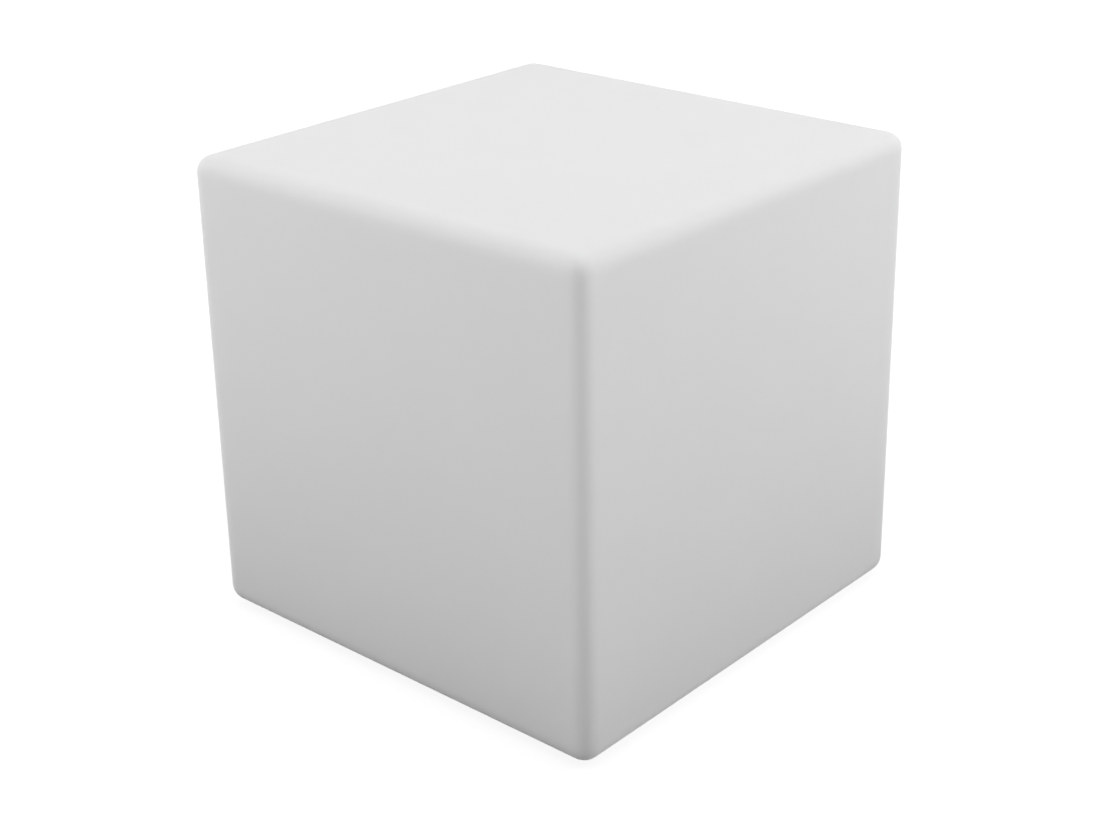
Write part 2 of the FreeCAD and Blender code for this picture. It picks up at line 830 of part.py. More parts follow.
def make_dome():
    """The frosted dome: a flat flange, a short skirt and a shallow cap of even thickness."""
    body = new_body("diffuser_dome")
    outer = "(dome_radius^2 + dome_rise^2) / (2 * dome_rise)"
    inner = f"({outer}) - dome_wall"
    centre = f"dome_skirt_height + dome_rise - ({outer})"
    bore = "dome_radius - dome_wall"
    spring_line = f"{centre} + sqrt(({inner})^2 - ({bore})^2)"
    profile = Outline(body, "XZ_Plane").polygon(
        (bore, "0"),
        ("drum_radius", "0"),
        ("drum_radius", "dome_flange_thick"),
        ("dome_radius", "dome_flange_thick"),
        ("dome_radius", "dome_skirt_height", f"-({outer})"),
        ("0", "dome_skirt_height + dome_rise"),
        ("0", "dome_skirt_height + dome_rise - dome_wall", inner),
        (bore, spring_line),
    )
    turn(body, profile)
    round_edges(body, circle_edges(body, "dome_radius", "dome_skirt_height"), "dome_wall")
    holes = Outline(body, "XY_Plane", lift="dome_flange_thick").circles("small_clear_radius", DOME_POSTS)
    pocket(body, holes, "dome_flange_thick")
    place(body, z=f"{MODULE_LEVEL} + drum_height")
    return body


def make_dome_seal():
    """The seal in the groove on the drum's rim."""
    body = new_body("dome_seal")
    outline = Outline(body, "XY_Plane").circle("seal_outer_radius").circle("seal_inner_radius")
    pad(body, outline, "seal_height")
    place(body, z=f"{MODULE_LEVEL} + drum_height - seal_height")
    return body


# ---------------------------------------------------------------- light module: boards


def make_led_board():
    """The round aluminium-core board under the dome."""
    body = new_body("led_board")
    outline = Outline(body, "XY_Plane").circle("led_board_radius")
    outline.circles("small_clear_radius", LED_POSTS)
    pad(body, outline, "board_thick")
    place(body, z=f"{MODULE_LEVEL} + led_board_height")
    return body


def make_leds():
    """Four-colour diode packages: a ring of twelve and a ring of four."""
    body = new_body("led_packages")
    for circle, count in (("led_outer_circle", 12), ("led_inner_circle", 4)):
        outline = Outline(body, "XY_Plane").rectangle("led_side", "led_side", circle)
        package = pad(body, outline, "led_height")
        window = Outline(body, "XY_Plane", lift="led_height").circle("led_window_radius", circle)
        repeat_round(body, [package, pocket(body, window, "led_window_depth")], count)
    place(body, z=f"{MODULE_LEVEL} + {LED_FACE}")
    return body


def make_remote_receiver():
    """The infrared receiver for the remote control, in the middle of the board."""
    body = new_body("remote_receiver")
    pad(body, Outline(body, "XY_Plane").rectangle("receiver_width", "receiver_depth"), "receiver_height")
    round_edges(body, upright_edges(body), "receiver_corner_radius")
    eye = Outline(body, "XZ_Plane", lift="receiver_depth / 2")
    eye.circle("receiver_eye_radius", "0", "receiver_eye_height")
    pad(body, eye, "receiver_eye_bulge")
    place(body, z=f"{MODULE_LEVEL} + {LED_FACE}")
    return body


def make_control_board():
    """The control board, above the cells."""
    body = new_body("control_board")
    outline = Outline(body, "XY_Plane").rectangle("control_board_length", "control_board_width")
    pad(body, outline, "board_thick")
    round_edges(body, upright_edges(body), "board_corner_radius")
    holes = Outline(body, "XY_Plane", lift="board_thick")
    holes.circles("small_clear_radius", four_spots("control_post_x", "control_post_y"))
    pocket(body, holes, "board_thick")
    place(body, y="control_board_shift", z=f"{MODULE_LEVEL} + control_board_height")
    return body


CONTROL_CHIPS = [
    # x, y, length, width, height on the control board
    (-8, 2, 10.0, 6.2, 1.8),
    (10, 8, 5.0, 4.0, 1.6),
    (-24, -8, 6.6, 6.1, 2.3),
    (-24, 8, 6.6, 6.1, 2.3),
    (24, -9, 6.6, 6.1, 2.3),
]


def make_board_chips():
    """The controller, the charging chip and three power transistors."""
    body = new_body("board_chips")
    for x, y, length, width, height in CONTROL_CHIPS:
        pad(body, Outline(body, "XY_Plane").rectangle(str(length), str(width), str(x), str(y)), str(height))
    place(body, y="control_board_shift", z=f"{MODULE_LEVEL} + {CONTROL_FACE}")
    return body


def make_inductor():
    """The charging circuit's shielded inductor."""
    body = new_body("power_inductor")
    pad(body, Outline(body, "XY_Plane").rectangle("inductor_side", "inductor_side"), "inductor_height")
    round_edges(body, upright_edges(body), "inductor_corner_radius")
    round_edges(body, level_edges(body, "inductor_height"), "inductor_edge_radius")
    place(body, "inductor_x", "inductor_y", f"{MODULE_LEVEL} + {CONTROL_FACE}")
    return body


def make_capacitors():
    """Two upright electrolytic capacitors."""
    body = new_body("board_capacitors")
    spots = [(f"capacitor_middle_x + {side} * capacitor_pitch / 2", "0") for side in (-1, 1)]
    pad(body, Outline(body, "XY_Plane").circles("capacitor_radius", spots), "capacitor_height")
    round_edges(body, circle_edges(body, "capacitor_radius", "capacitor_height"), "capacitor_edge_radius")
    place(body, y="control_board_shift + capacitor_y", z=f"{MODULE_LEVEL} + {CONTROL_FACE}")
    return body


PLUG_SPOTS = {
    # middle of each lead's plug on the control board, and the axis along which its leads enter
    "battery": (33.5, 5.0, "x"),
    "button": (-15.0, -11.0, "y"),
    "socket": (15.0, -11.0, "y"),
}


def make_lead_plugs():
    """White plug housings where the leads meet the control board."""
    body = new_body("lead_plugs")
    outline = Outline(body, "XY_Plane")
    for x, y, axis in PLUG_SPOTS.values():
        sides = ("plug_depth", "plug_width") if axis == "x" else ("plug_width", "plug_depth")
        outline.rectangle(*sides, x, y)
    pad(body, outline, "plug_height")
    place(body, z=f"{MODULE_LEVEL} + {CONTROL_FACE}")
    return body


def make_board_header():
    """The pin header that joins the control board to the board of diodes."""
    body = new_body("board_header")
    gap = f"led_board_height - ({CONTROL_FACE})"
    pad(body, Outline(body, "XY_Plane").rectangle("header_width", "header_length"), gap)
    place(body, "header_x", "control_board_shift", f"{MODULE_LEVEL} + {CONTROL_FACE}")
    return body


# ---------------------------------------------------------------- light module: cells


def make_cell(label, side):
    """One lithium cell lying along X, with its shrink wrap turned in over both ends."""
    body = new_body(label)
    half = "cell_length / 2"
    profile = Outline(body, "YZ_Plane").polygon(
        ("0", f"-({half})"),
        ("cell_radius", f"-({half})"),
        ("cell_radius", f"{half} - cell_neck_height"),
        ("cell_neck_radius", f"{half} - cell_neck_height"),
        ("cell_neck_radius", f"{half} - cell_button_height"),
        ("cell_button_radius", f"{half} - cell_button_height"),
        ("cell_button_radius", half),
        ("0", half),
    )
    turn(body, profile)
    round_edges(body, circle_edges(body, "cell_radius", f"-({half})"), "cell_edge_radius")
    body.Placement = Placement(Vector(0, 0, 0), Rotation(Vector(0, 1, 0), 90 * side))
    place(body, "0", f"cell_shift + {side} * cell_spacing / 2", f"{MODULE_LEVEL} + cell_height")
    return body


def make_cell_tabs():
    """Nickel strips that join the cells at each end."""
    body = new_body("cell_tabs")
    reach = "cell_spacing + 2 * tab_overhang"
    for side in (-1, 1):
        outline = Outline(body, "YZ_Plane", lift=f"{side} * cell_length / 2")
        outline.rectangle(reach, "tab_width", "cell_shift", "0")
        pad(body, outline, "tab_thick", flip=side < 0)
    place(body, z=f"{MODULE_LEVEL} + cell_height")
    return body


def make_cell_pads():
    """Foam strips between the cradle ribs."""
    body = new_body("cell_pads")
    length = "cradle_pitch - cradle_thick - 2 * pad_margin"
    outline = Outline(body, "XY_Plane")
    for side in (-1, 1):
        outline.rectangle(length, "pad_width", f"{side} * cradle_pitch / 2", "cell_shift")
    pad(body, outline, "pad_thick")
    place(body, z=f"{MODULE_LEVEL} + panel_thick")
    return body


def make_bracket():
    """The strap that holds the cells down, with a foot on each post."""
    body = new_body("cell_bracket")
    crest = "cell_height + cell_radius + bracket_thick"
    foot = "bracket_post_height"
    reach = "bracket_post_offset + bracket_post_radius"
    leg = "cell_spacing / 2 + cell_radius + cell_clearance"
    outer = f"{leg} + bracket_thick"
    half = [
        (reach, foot),
        (reach, f"{foot} + bracket_thick"),
        (outer, f"{foot} + bracket_thick"),
        (outer, crest),
    ]
    inside = [(leg, f"{crest} - bracket_thick"), (leg, foot)]
    points = [(f"cell_shift + {x}", z) for x, z in half]
    points += [(f"cell_shift - ({x})", z) for x, z in reversed(half)]
    points += [(f"cell_shift - ({x})", z) for x, z in reversed(inside)]
    points += [(f"cell_shift + {x}", z) for x, z in inside]
    pad(body, Outline(body, "YZ_Plane").polygon(*points), "bracket_width", both_ways=True)
    along_x = edges_where(
        body,
        lambda edge: edge.BoundBox.XLength > 1 and abs(edge.BoundBox.ZMax - number(crest)) < 1e-4,
    )
    round_edges(body, along_x, "bracket_thick * 1.5")
    holes = Outline(body, "XY_Plane", lift=f"{foot} + bracket_thick")
    pocket(body, holes.circles("small_clear_radius", BRACKET_POSTS), "bracket_thick")
    place(body, z=MODULE_LEVEL)
    return body


# ---------------------------------------------------------------- push button


def at_button(body, lift="0"):
    """Puts a piece of the push button in place. Its own origin is the panel's lower face."""
    place(body, "button_x", "controls_y", f"{MODULE_LEVEL} + {lift}")
    return body


CHAMBER_TOP = "button_body_length - button_contact_length"
BUTTON_FACE = "-fitting_flange_thick - button_proud"


def make_button_body():
    """The button's barrel: a bevelled flange below the panel and a stepped bore for the plunger."""
    body = new_body("button_body")
    bore = "button_radius + button_running_gap"
    profile = Outline(body, "XZ_Plane").polygon(
        (bore, "-fitting_flange_thick"),
        ("button_flange_radius", "-fitting_flange_thick"),
        ("button_flange_radius", "-fitting_seal_thick"),
        ("button_barrel_radius", "-fitting_seal_thick"),
        ("button_barrel_radius", "button_body_length"),
        ("0", "button_body_length"),
        ("0", CHAMBER_TOP),
        ("button_chamber_radius", CHAMBER_TOP),
        ("button_chamber_radius", "button_chamber_floor"),
        (bore, "button_chamber_floor"),
    )
    turn(body, profile)
    bevel_edges(body, circle_edges(body, "button_flange_radius", "-fitting_flange_thick"), "button_bevel")
    return at_button(body)


def make_power_button():
    """The plunger that a finger presses, with the collar that keeps it in."""
    body = new_body("power_button")
    stem = "spring_radius - 1"
    collar_foot = "button_chamber_floor + button_collar_gap"
    profile = Outline(body, "XZ_Plane").polygon(
        ("0", BUTTON_FACE),
        ("button_radius", BUTTON_FACE),
        ("button_radius", collar_foot),
        ("button_collar_radius", collar_foot),
        ("button_collar_radius", "button_collar_top"),
        (stem, "button_collar_top"),
        (stem, "button_stem_top"),
        ("0", "button_stem_top"),
    )
    turn(body, profile)
    round_edges(body, circle_edges(body, "button_radius", BUTTON_FACE), "button_edge_radius")
    dish = Outline(body, "XY_Plane", lift=BUTTON_FACE).circle("button_dish_radius")
    pocket(body, dish, "button_dish_depth", flip=True)
    return at_button(body)


def make_button_spring():
    """The coil spring above the plunger's collar: open turns between two closed end turns."""
    wire = number("spring_wire_radius")
    gap = number("spring_end_gap")
    room = number(f"{CHAMBER_TOP} - button_collar_top")
    open_turns = int(number("spring_active_turns"))
    end_rise = 2 * wire + gap
    open_rise = (room - 2 * wire - 2 * gap - 2 * end_rise) / open_turns
    half_rises = [end_rise / 2] * 2 + [open_rise / 2] * (2 * open_turns) + [end_rise / 2] * 2
    path = coil_path(number("spring_radius"), half_rises)
    section = Part.Wire([Part.Circle(path.Edges[0].valueAt(0), Vector(0, 1, 0), wire).toShape()])
    spring = doc.addObject("Part::Feature", "button_spring")
    spring.Label = "button_spring"
    spring.Shape = path.makePipeShell([section], True, False)
    return at_button(spring, "button_collar_top + spring_wire_radius + spring_end_gap")


def make_nut(label, flats, hole, x):
    """A hexagon nut above the panel."""
    body = new_body(label)
    outline = Outline(body, "XY_Plane").hexagon(flats)
    outline.circle(hole)
    pad(body, outline, "fitting_nut_thick")
    place(body, x, "controls_y", f"{MODULE_LEVEL} + panel_thick")
    return body


def make_fitting_seal(label, flange_radius, barrel_radius, x):
    """A flat seal between a fitting's flange and the panel, set in a little from the flange's edge."""
    body = new_body(label)
    outline = Outline(body, "XY_Plane").circle(barrel_radius)
    pad(body, outline.circle(f"{flange_radius} - fitting_seal_inset"), "fitting_seal_thick")
    place(body, x, "controls_y", f"{MODULE_LEVEL} - fitting_seal_thick")
    return body


def make_terminals(label, x, foot, spread):
    """Two tinned tags on the back of a fitting."""
    body = new_body(label)
    outline = Outline(body, "XY_Plane")
    for side in (-1, 1):
        outline.rectangle("tag_thick", "tag_width", f"{side} * ({spread})", "0")
    pad(body, outline, "tag_height")
    place(body, x, "controls_y", f"{MODULE_LEVEL} + {foot}")
    return body


# ---------------------------------------------------------------- charging socket and cap


BORE_END = "socket_bore_depth - fitting_flange_thick"


def make_socket():
    """The round charging socket: flange, threaded barrel and the bore that takes the plug."""
    body = new_body("charge_socket")
    profile = Outline(body, "XZ_Plane").polygon(
        ("socket_bore_radius", "-fitting_flange_thick"),
        ("socket_flange_radius", "-fitting_flange_thick"),
        ("socket_flange_radius", "-fitting_seal_thick"),
        ("socket_barrel_radius", "-fitting_seal_thick"),
        ("socket_barrel_radius", "socket_length"),
        ("pin_shoulder_radius", "socket_length"),
        ("pin_shoulder_radius", BORE_END),
        ("socket_bore_radius", BORE_END),
    )
    turn(body, profile)
    bevel_edges(body, circle_edges(body, "socket_flange_radius", "-fitting_flange_thick"), "socket_bevel")
    place(body, "socket_x", "controls_y", MODULE_LEVEL)
    return body


def make_socket_pin():
    """The socket's centre pin, with a rounded tip and a thicker root held in the socket."""
    body = new_body("socket_pin")
    tip = "pin_recess - fitting_flange_thick"
    profile = Outline(body, "XZ_Plane").polygon(
        ("0", tip),
        ("pin_radius", tip),
        ("pin_radius", BORE_END),
        ("pin_shoulder_radius", BORE_END),
        ("pin_shoulder_radius", "socket_length"),
        ("0", "socket_length"),
    )
    turn(body, profile)
    round_edges(body, circle_edges(body, "pin_radius", tip), "pin_tip_radius")
    place(body, "socket_x", "controls_y", MODULE_LEVEL)
    return body


CAP_CEILING = "-fitting_flange_thick"


def make_port_cap():
    """The rubber cap: a disc under the socket with a short bung, a pull tab and half of its strap."""
    body = new_body("port_cap")
    disc = Outline(body, "XZ_Plane").polygon(
        ("0", f"{CAP_CEILING} - cap_thick"),
        ("cap_radius", f"{CAP_CEILING} - cap_thick"),
        ("cap_radius", CAP_CEILING),
        ("bung_radius", CAP_CEILING),
        ("bung_tip_radius", f"{CAP_CEILING} + bung_height"),
        ("0", f"{CAP_CEILING} + bung_height"),
    )
    turn(body, disc)
    round_edges(body, circle_edges(body, "cap_radius", f"{CAP_CEILING} - cap_thick"), "cap_edge_radius")
    tab = Outline(body, "XY_Plane", lift=CAP_CEILING).rectangle(
        "strap_width", "cap_tab_reach - cap_tab_start", "0", "(cap_tab_reach + cap_tab_start) / 2"
    )
    pad(body, tab, "cap_tab_thick", flip=True)
    strap = Outline(body, "YZ_Plane").polygon(
        ("cap_hinge_y", CAP_CEILING),
        ("cap_tongue_reach", CAP_CEILING),
        ("cap_tongue_reach", f"{CAP_CEILING} - cap_tongue_thick"),
        ("cap_tongue_root", f"{CAP_CEILING} - cap_tongue_thick"),
        ("cap_tongue_root", CAP_CEILING),
        ("cap_web_y", CAP_CEILING),
        ("cap_web_y", f"{CAP_CEILING} + strap_thick"),
        ("cap_hinge_y", f"{CAP_CEILING} + strap_thick"),
    )
    pad(body, strap, "strap_width", both_ways=True)
    place(body, "socket_x", "controls_y", MODULE_LEVEL)
    return body


def make_cap_anchor():
    """The root of the cap's strap, buttoned through the panel."""
    body = new_body("port_cap_anchor")
    profile = Outline(body, "XZ_Plane").polygon(
        ("0", CAP_CEILING),
        ("anchor_pad_radius", CAP_CEILING),
        ("anchor_pad_radius", "0"),
        ("anchor_stem_radius", "0"),
        ("anchor_stem_radius", "panel_thick"),
        ("anchor_barb_radius", "panel_thick"),
        ("anchor_tip_radius", "panel_thick + anchor_barb_height"),
        ("0", "panel_thick + anchor_barb_height"),
    )
    turn(body, profile)
    length = "cap_hinge_y - cap_anchor_y"
    strap = Outline(body, "XY_Plane", lift=f"{CAP_CEILING} + strap_thick").rectangle(
        "strap_width", length, "0", f"({length}) / 2"
    )
    pad(body, strap, "strap_thick", flip=True)
    place(body, "socket_x", "controls_y + cap_anchor_y", MODULE_LEVEL)
    return body


# ---------------------------------------------------------------- light guide and leads


def corner_arc(entry, corner, leave):
    """The arc that touches both legs of a corner, where entry and leave are as far from it."""
    reach = (entry - corner).Length
    half_angle = (entry - corner).getAngle(leave - corner) / 2
    inward = ((entry + leave) * 0.5 - corner).normalize()
    crown = corner + inward * reach * (1 / math.cos(half_angle) - math.tan(half_angle))
    return Part.Arc(entry, crown, leave).toShape()


def bent_path(points):
    """Straight runs joined by tangent arcs, each about as large as its two runs allow."""
    edges = []
    start = points[0]
    for index in range(1, len(points) - 1):
        before = points[index - 1] - points[index]
        after = points[index + 1] - points[index]
        share_before = 0.9 if index == 1 else 0.48
        share_after = 0.9 if index == len(points) - 2 else 0.48
        reach = min(share_before * before.Length, share_after * after.Length)
        entry = points[index] + before.normalize() * reach
        leave = points[index] + after.normalize() * reach
        edges.append(Part.LineSegment(start, entry).toShape())
        edges.append(corner_arc(entry, points[index], leave))
        start = leave
    edges.append(Part.LineSegment(start, points[-1]).toShape())
    return Part.Wire(edges)


def coil_path(radius, half_rises):
    """A coil about Z from +X, with a pair of tangent arcs for each half turn and its rise."""
    spots = []
    slopes = []
    height = 0.0
    for index in range(len(half_rises) + 1):
        side = (-1) ** index
        spots.append(Vector(side * radius, 0, height))
        beside = half_rises[max(index - 1, 0) : index + 1]
        slopes.append(Vector(0, side * math.pi * radius, sum(beside) / len(beside)).normalize())
        height += half_rises[index] if index < len(half_rises) else 0
    edges = []
    for start, finish, leaving, arriving in zip(spots, spots[1:], slopes, slopes[1:]):
        chord = finish - start
        a = 2 * (leaving.dot(arriving) - 1)
        b = -2 * chord.dot(leaving + arriving)
        reach = (-b - math.sqrt(b**2 - 4 * a * chord.dot(chord))) / (2 * a)
        first_corner = start + leaving * reach
        second_corner = finish - arriving * reach
        joint = (first_corner + second_corner) * 0.5
        edges.append(corner_arc(start, first_corner, joint))
        edges.append(corner_arc(joint, second_corner, finish))
    return Part.Wire(edges)


def bent_rod(label, points, radius):
    """A round rod along a route of straight runs and arcs."""
    route = [Vector(*point) for point in points]
    path = bent_path(route)
    section = Part.Wire([Part.Circle(route[0], route[1] - route[0], radius).toShape()])
    rod = path.makePipeShell([section], True, False)
    expected = math.pi * radius**2 * path.Length
    if abs(rod.Volume - expected) > 0.01 * expected:
        raise RuntimeError(f"{label}: the rod's volume is {rod.Volume:.1f}, not {expected:.1f}")
    return rod


def add_shape(label, shape):
    """A sub-part whose shape is bent along a route. Its origin is the module's lower face."""
    item = doc.addObject("Part::Feature", label)
    item.Label = label
    item.Shape = shape
    place(item, z=MODULE_LEVEL)
    return item


def make_light_guide():
    """The clear guide that carries the charging light from the control board down to the panel."""
    x, y = number("guide_x"), number("controls_y")
    board_edge = number("control_board_shift - control_board_width / 2")
    level = number(f"{CONTROL_FACE} + guide_eye_height")
    head = number("guide_head_height")
    rod = bent_rod(
        "light_guide",
        [(x, y, -head), (x, y, level), (x, board_edge - number("guide_gap"), level)],
        number("guide_radius"),
    )
    button = Part.makeCylinder(number("guide_head_radius"), head, Vector(x, y, -head))
    rim = [edge for edge in button.Edges if abs(edge.BoundBox.ZMax + head) < 1e-4 and edge.Closed]
    button = button.makeFillet(number("guide_edge_radius"), rim)
    add_shape("light_guide", rod.fuse(button).removeSplitter())


def make_status_led():
    """The side-facing diode at the board's edge that lights the guide."""
    body = new_body("status_led")
    outline = Outline(body, "XY_Plane").rectangle("status_led_length", "status_led_width")
    pad(body, outline, "status_led_height")
    edge = "control_board_shift - control_board_width / 2"
    place(body, "guide_x", f"{edge} + status_led_width / 2", f"{MODULE_LEVEL} + {CONTROL_FACE}")
    return body


def make_leads():
    """Red and black leads from the cells, the button and the socket to the control board."""
    radius = number("lead_radius")
    half_gap = number("lead_gap") / 2
    plug_level = number(f"{CONTROL_FACE} + plug_height / 2")
    plug_reach = number("plug_depth / 2")
    cell_level = number("cell_height")
    tab = number("cell_length / 2 + tab_thick")
    turn_x = tab + number("battery_lead_reach")
    tag_y = number("controls_y")
    for colour, side in (("red", 1), ("black", -1)):
        x, y, _ = PLUG_SPOTS["battery"]
        row = y + side * half_gap
        route = [
            (tab, row, cell_level),
            (turn_x, row, cell_level),
            (turn_x, row, plug_level),
            (x + plug_reach, row, plug_level),
        ]
        add_shape(f"battery_lead_{colour}", bent_rod(f"battery_lead_{colour}", route, radius))
        for name, foot in (("button", "button_body_length"), ("socket", "socket_length")):
            x, y, _ = PLUG_SPOTS[name]
            column = x + side * half_gap
            route = [
                (column, tag_y, number(f"{foot} + tag_height")),
                (column, tag_y, plug_level),
                (column, y - plug_reach, plug_level),
            ]
            add_shape(f"{name}_lead_{colour}", bent_rod(f"{name}_lead_{colour}", route, radius))


# ---------------------------------------------------------------- build and write


def build():
    """Makes every sub-part."""
    make_shell()
    make_inserts("module_inserts", FLANGE_SPOTS, POCKET_CEILING)
    make_inserts("foot_inserts", FOOT_SPOTS, "foot_stand + foot_recess_depth")
    for y_side, row in ((-1, "front"), (1, "rear")):
        for x_side, column in ((-1, "left"), (1, "right")):
            make_foot(f"foot_{row}_{column}", x_side, y_side)
    make_washers()
    foot_screws = make_screws("foot_screws", FOOT_SPOTS, "large", "foot_screw_length", points_up=True)
    place(foot_screws, z="foot_bore_depth - washer_thick")

    make_module_base()
    make_gasket()
    flange_screws = make_screws(
        "flange_screws", FLANGE_SPOTS, "large", "flange_screw_length", points_up=True
    )
    place(flange_screws, z=f"{MODULE_LEVEL} + counterbore_depth")
    make_dome()
    make_dome_seal()
    dome_screws = make_screws("dome_screws", DOME_POSTS, "small", "dome_screw_length")
    place(dome_screws, z=f"{MODULE_LEVEL} + drum_height + dome_flange_thick")

    make_led_board()
    make_leds()
    board_screws = make_screws("led_board_screws", LED_POSTS, "small", "board_screw_length")
    place(board_screws, z=f"{MODULE_LEVEL} + {LED_FACE}")
    make_remote_receiver()
    make_control_board()
    control_screws = make_screws("control_board_screws", CONTROL_POSTS, "small", "board_screw_length")
    place(control_screws, z=f"{MODULE_LEVEL} + {CONTROL_FACE}")
    make_board_chips()
    make_inductor()
    make_capacitors()
    make_lead_plugs()
    make_board_header()

    make_cell("cell_front", -1)
    make_cell("cell_rear", 1)
    make_cell_tabs()
    make_cell_pads()
    make_bracket()
    bracket_screws = make_screws("bracket_screws", BRACKET_POSTS, "small", "bracket_screw_length")
    place(bracket_screws, z=f"{MODULE_LEVEL} + bracket_post_height + bracket_thick")

    make_button_body()
    make_power_button()
    make_button_spring()
    make_nut("button_nut", "button_nut_flats", "button_barrel_radius", "button_x")
    make_fitting_seal("button_seal", "button_flange_radius", "button_barrel_radius", "button_x")
    make_terminals("button_terminals", "button_x", "button_body_length", "lead_gap / 2")

    make_socket()
    make_socket_pin()
    make_nut("socket_nut", "socket_nut_flats", "socket_barrel_radius", "socket_x")
    make_fitting_seal("socket_seal", "socket_flange_radius", "socket_barrel_radius", "socket_x")
    make_terminals("socket_terminals", "socket_x", "socket_length", "lead_gap / 2")
    make_port_cap()
    make_cap_anchor()
    make_light_guide()
    make_status_led()
    make_leads()


def write_parts():
    """Checks every object, then writes each sub-part under its label."""
    doc.recompute()
    failed = [item.Name for item in doc.Objects if {"Invalid", "Error"} & set(item.State)]
    if failed:
        raise RuntimeError(f"these objects failed: {failed}")
    os.makedirs("parts", exist_ok=True)
    kinds = ("PartDesign::Body", "Part::Feature")
    helpers = {"shell_cavity"}
    wanted = [item for item in doc.Objects if item.TypeId in kinds and item.Label not in helpers]
    for item in wanted:
        shape = item.Shape
        if shape.isNull() or not shape.isValid() or not shape.Solids:
            raise RuntimeError(f"{item.Label} has no valid solid")
        shape.exportStep(f"parts/{item.Label}.step")
    print(f"{len(wanted)} sub-parts written")


build()
write_parts()
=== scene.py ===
"""The looks of the LED cube light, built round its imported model.

Everything is in the model's own frame: +Z is up and the floor is z = 0. Sizes are in millimetres, and
mm() turns them into metres, apart from those of the lamps and the floor, which are in metres already.
The upright faces towards -Y and +X are the two that the photograph shows.
"""
import math

import bmesh
import bpy
from mathutils import Matrix, Vector


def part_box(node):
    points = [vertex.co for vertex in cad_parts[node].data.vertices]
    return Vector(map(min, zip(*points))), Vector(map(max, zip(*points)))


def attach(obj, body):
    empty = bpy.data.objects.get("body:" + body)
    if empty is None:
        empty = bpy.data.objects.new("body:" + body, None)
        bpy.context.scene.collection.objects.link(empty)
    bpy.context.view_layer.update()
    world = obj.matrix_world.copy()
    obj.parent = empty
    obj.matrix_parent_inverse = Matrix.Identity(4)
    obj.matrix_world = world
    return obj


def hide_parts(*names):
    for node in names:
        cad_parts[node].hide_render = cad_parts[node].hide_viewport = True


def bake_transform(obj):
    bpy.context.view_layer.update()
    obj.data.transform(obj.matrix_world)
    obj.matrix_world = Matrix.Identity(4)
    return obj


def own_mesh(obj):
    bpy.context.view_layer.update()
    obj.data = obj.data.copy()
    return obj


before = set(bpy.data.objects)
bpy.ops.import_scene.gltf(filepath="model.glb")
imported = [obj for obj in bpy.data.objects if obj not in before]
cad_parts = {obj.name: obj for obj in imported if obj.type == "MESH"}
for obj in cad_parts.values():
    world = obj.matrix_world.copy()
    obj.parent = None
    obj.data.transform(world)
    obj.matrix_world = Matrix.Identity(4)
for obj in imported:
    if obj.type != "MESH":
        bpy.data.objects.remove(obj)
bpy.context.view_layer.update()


def mm(value):
    """Millimetres in metres: a number or a tuple of numbers."""
    if isinstance(value, (tuple, list)):
        return Vector([part * 0.001 for part in value])
    return value * 0.001


# ---------------------------------------------------------------- sizes, in millimetres

SHELL_HALF_BASE = 201.0
SHELL_HALF_TOP = 199.0
SHELL_LOW = 4.0
SHELL_HIGH = 394.0
SHELL_WALL = 3.5
SOFT_RADIUS = 16.4
SOFT_POWER = 2.5
FLAT_SHARE = 0.975

# The round pocket that holds the light module. Its back is its side towards the cube's hollow.
MOUTH_RADIUS = 96.0
POCKET_RADIUS = 92.0
LIP_RADIUS = 4.0
LIP_INSET = 0.7
LIP_FLAT = 1.5
CEILING = 28.0
CEILING_RADIUS = 2.0
OPENING_RADIUS = 66.0
OPENING_BEVEL = 0.8
BACK_ROUND = 4.0
BACK_INSET = 0.4
POCKET_SIDES = 160
OPENING_SIDES = 128

# The bosses for screw inserts. The points of a toe are steps out from the boss and up from its floor.
SCREW_CIRCLE = 80.0
FLANGE_SCREWS = 6
INSERT_RADIUS = 4.0
INSERT_LENGTH = 9.0
HOLE_BEVEL = 0.4
BOSS_TOE = ((1.2, 0.0), (0.3, 0.3), (0.0, 1.2))
BOSS_ROUND = 1.0
BOSS_SIDES = 32

# The feet's recesses.
FOOT_OFFSET = 150.0
RECESS_RADIUS = 17.5
RECESS_CEILING = 8.0
RECESS_LIP = 1.0
RECESS_COVE = 0.8
RECESS_TOE = 1.5
RECESS_ROUND = 1.2
RECESS_SIDES = 64

# The light module's base, and the place of the charging socket in it.
MODULE_LEVEL = 24.0
SOCKET_SPOT = (15.0, -35.0)


# ---------------------------------------------------------------- mesh tools


def arc(centre_r, centre_z, radius, start, end, steps):
    """Profile points on an arc, in degrees from the +r direction towards +z."""
    points = []
    for step in range(steps + 1):
        angle = math.radians(start + (end - start) * step / steps)
        points.append((centre_r + radius * math.cos(angle), centre_z + radius * math.sin(angle)))
    return points


def ring(bm, radius, z, centre=(0.0, 0.0), count=96):
    """A level ring of vertices, or one vertex where the radius is 0."""
    if radius == 0:
        return [bm.verts.new(mm((centre[0], centre[1], z)))]
    verts = []
    for step in range(count):
        angle = 2 * math.pi * step / count
        x = centre[0] + radius * math.cos(angle)
        y = centre[1] + radius * math.sin(angle)
        verts.append(bm.verts.new(mm((x, y, z))))
    return verts


def band(bm, low, high):
    """Faces between two rings. Either may be a single vertex."""
    count = max(len(low), len(high))
    for step in range(count):
        after = (step + 1) % count
        below = [low[step % len(low)], low[after % len(low)]]
        above = [high[after % len(high)], high[step % len(high)]]
        unique = list(dict.fromkeys(below + above))
        if len(unique) > 2:
            bm.faces.new(unique)


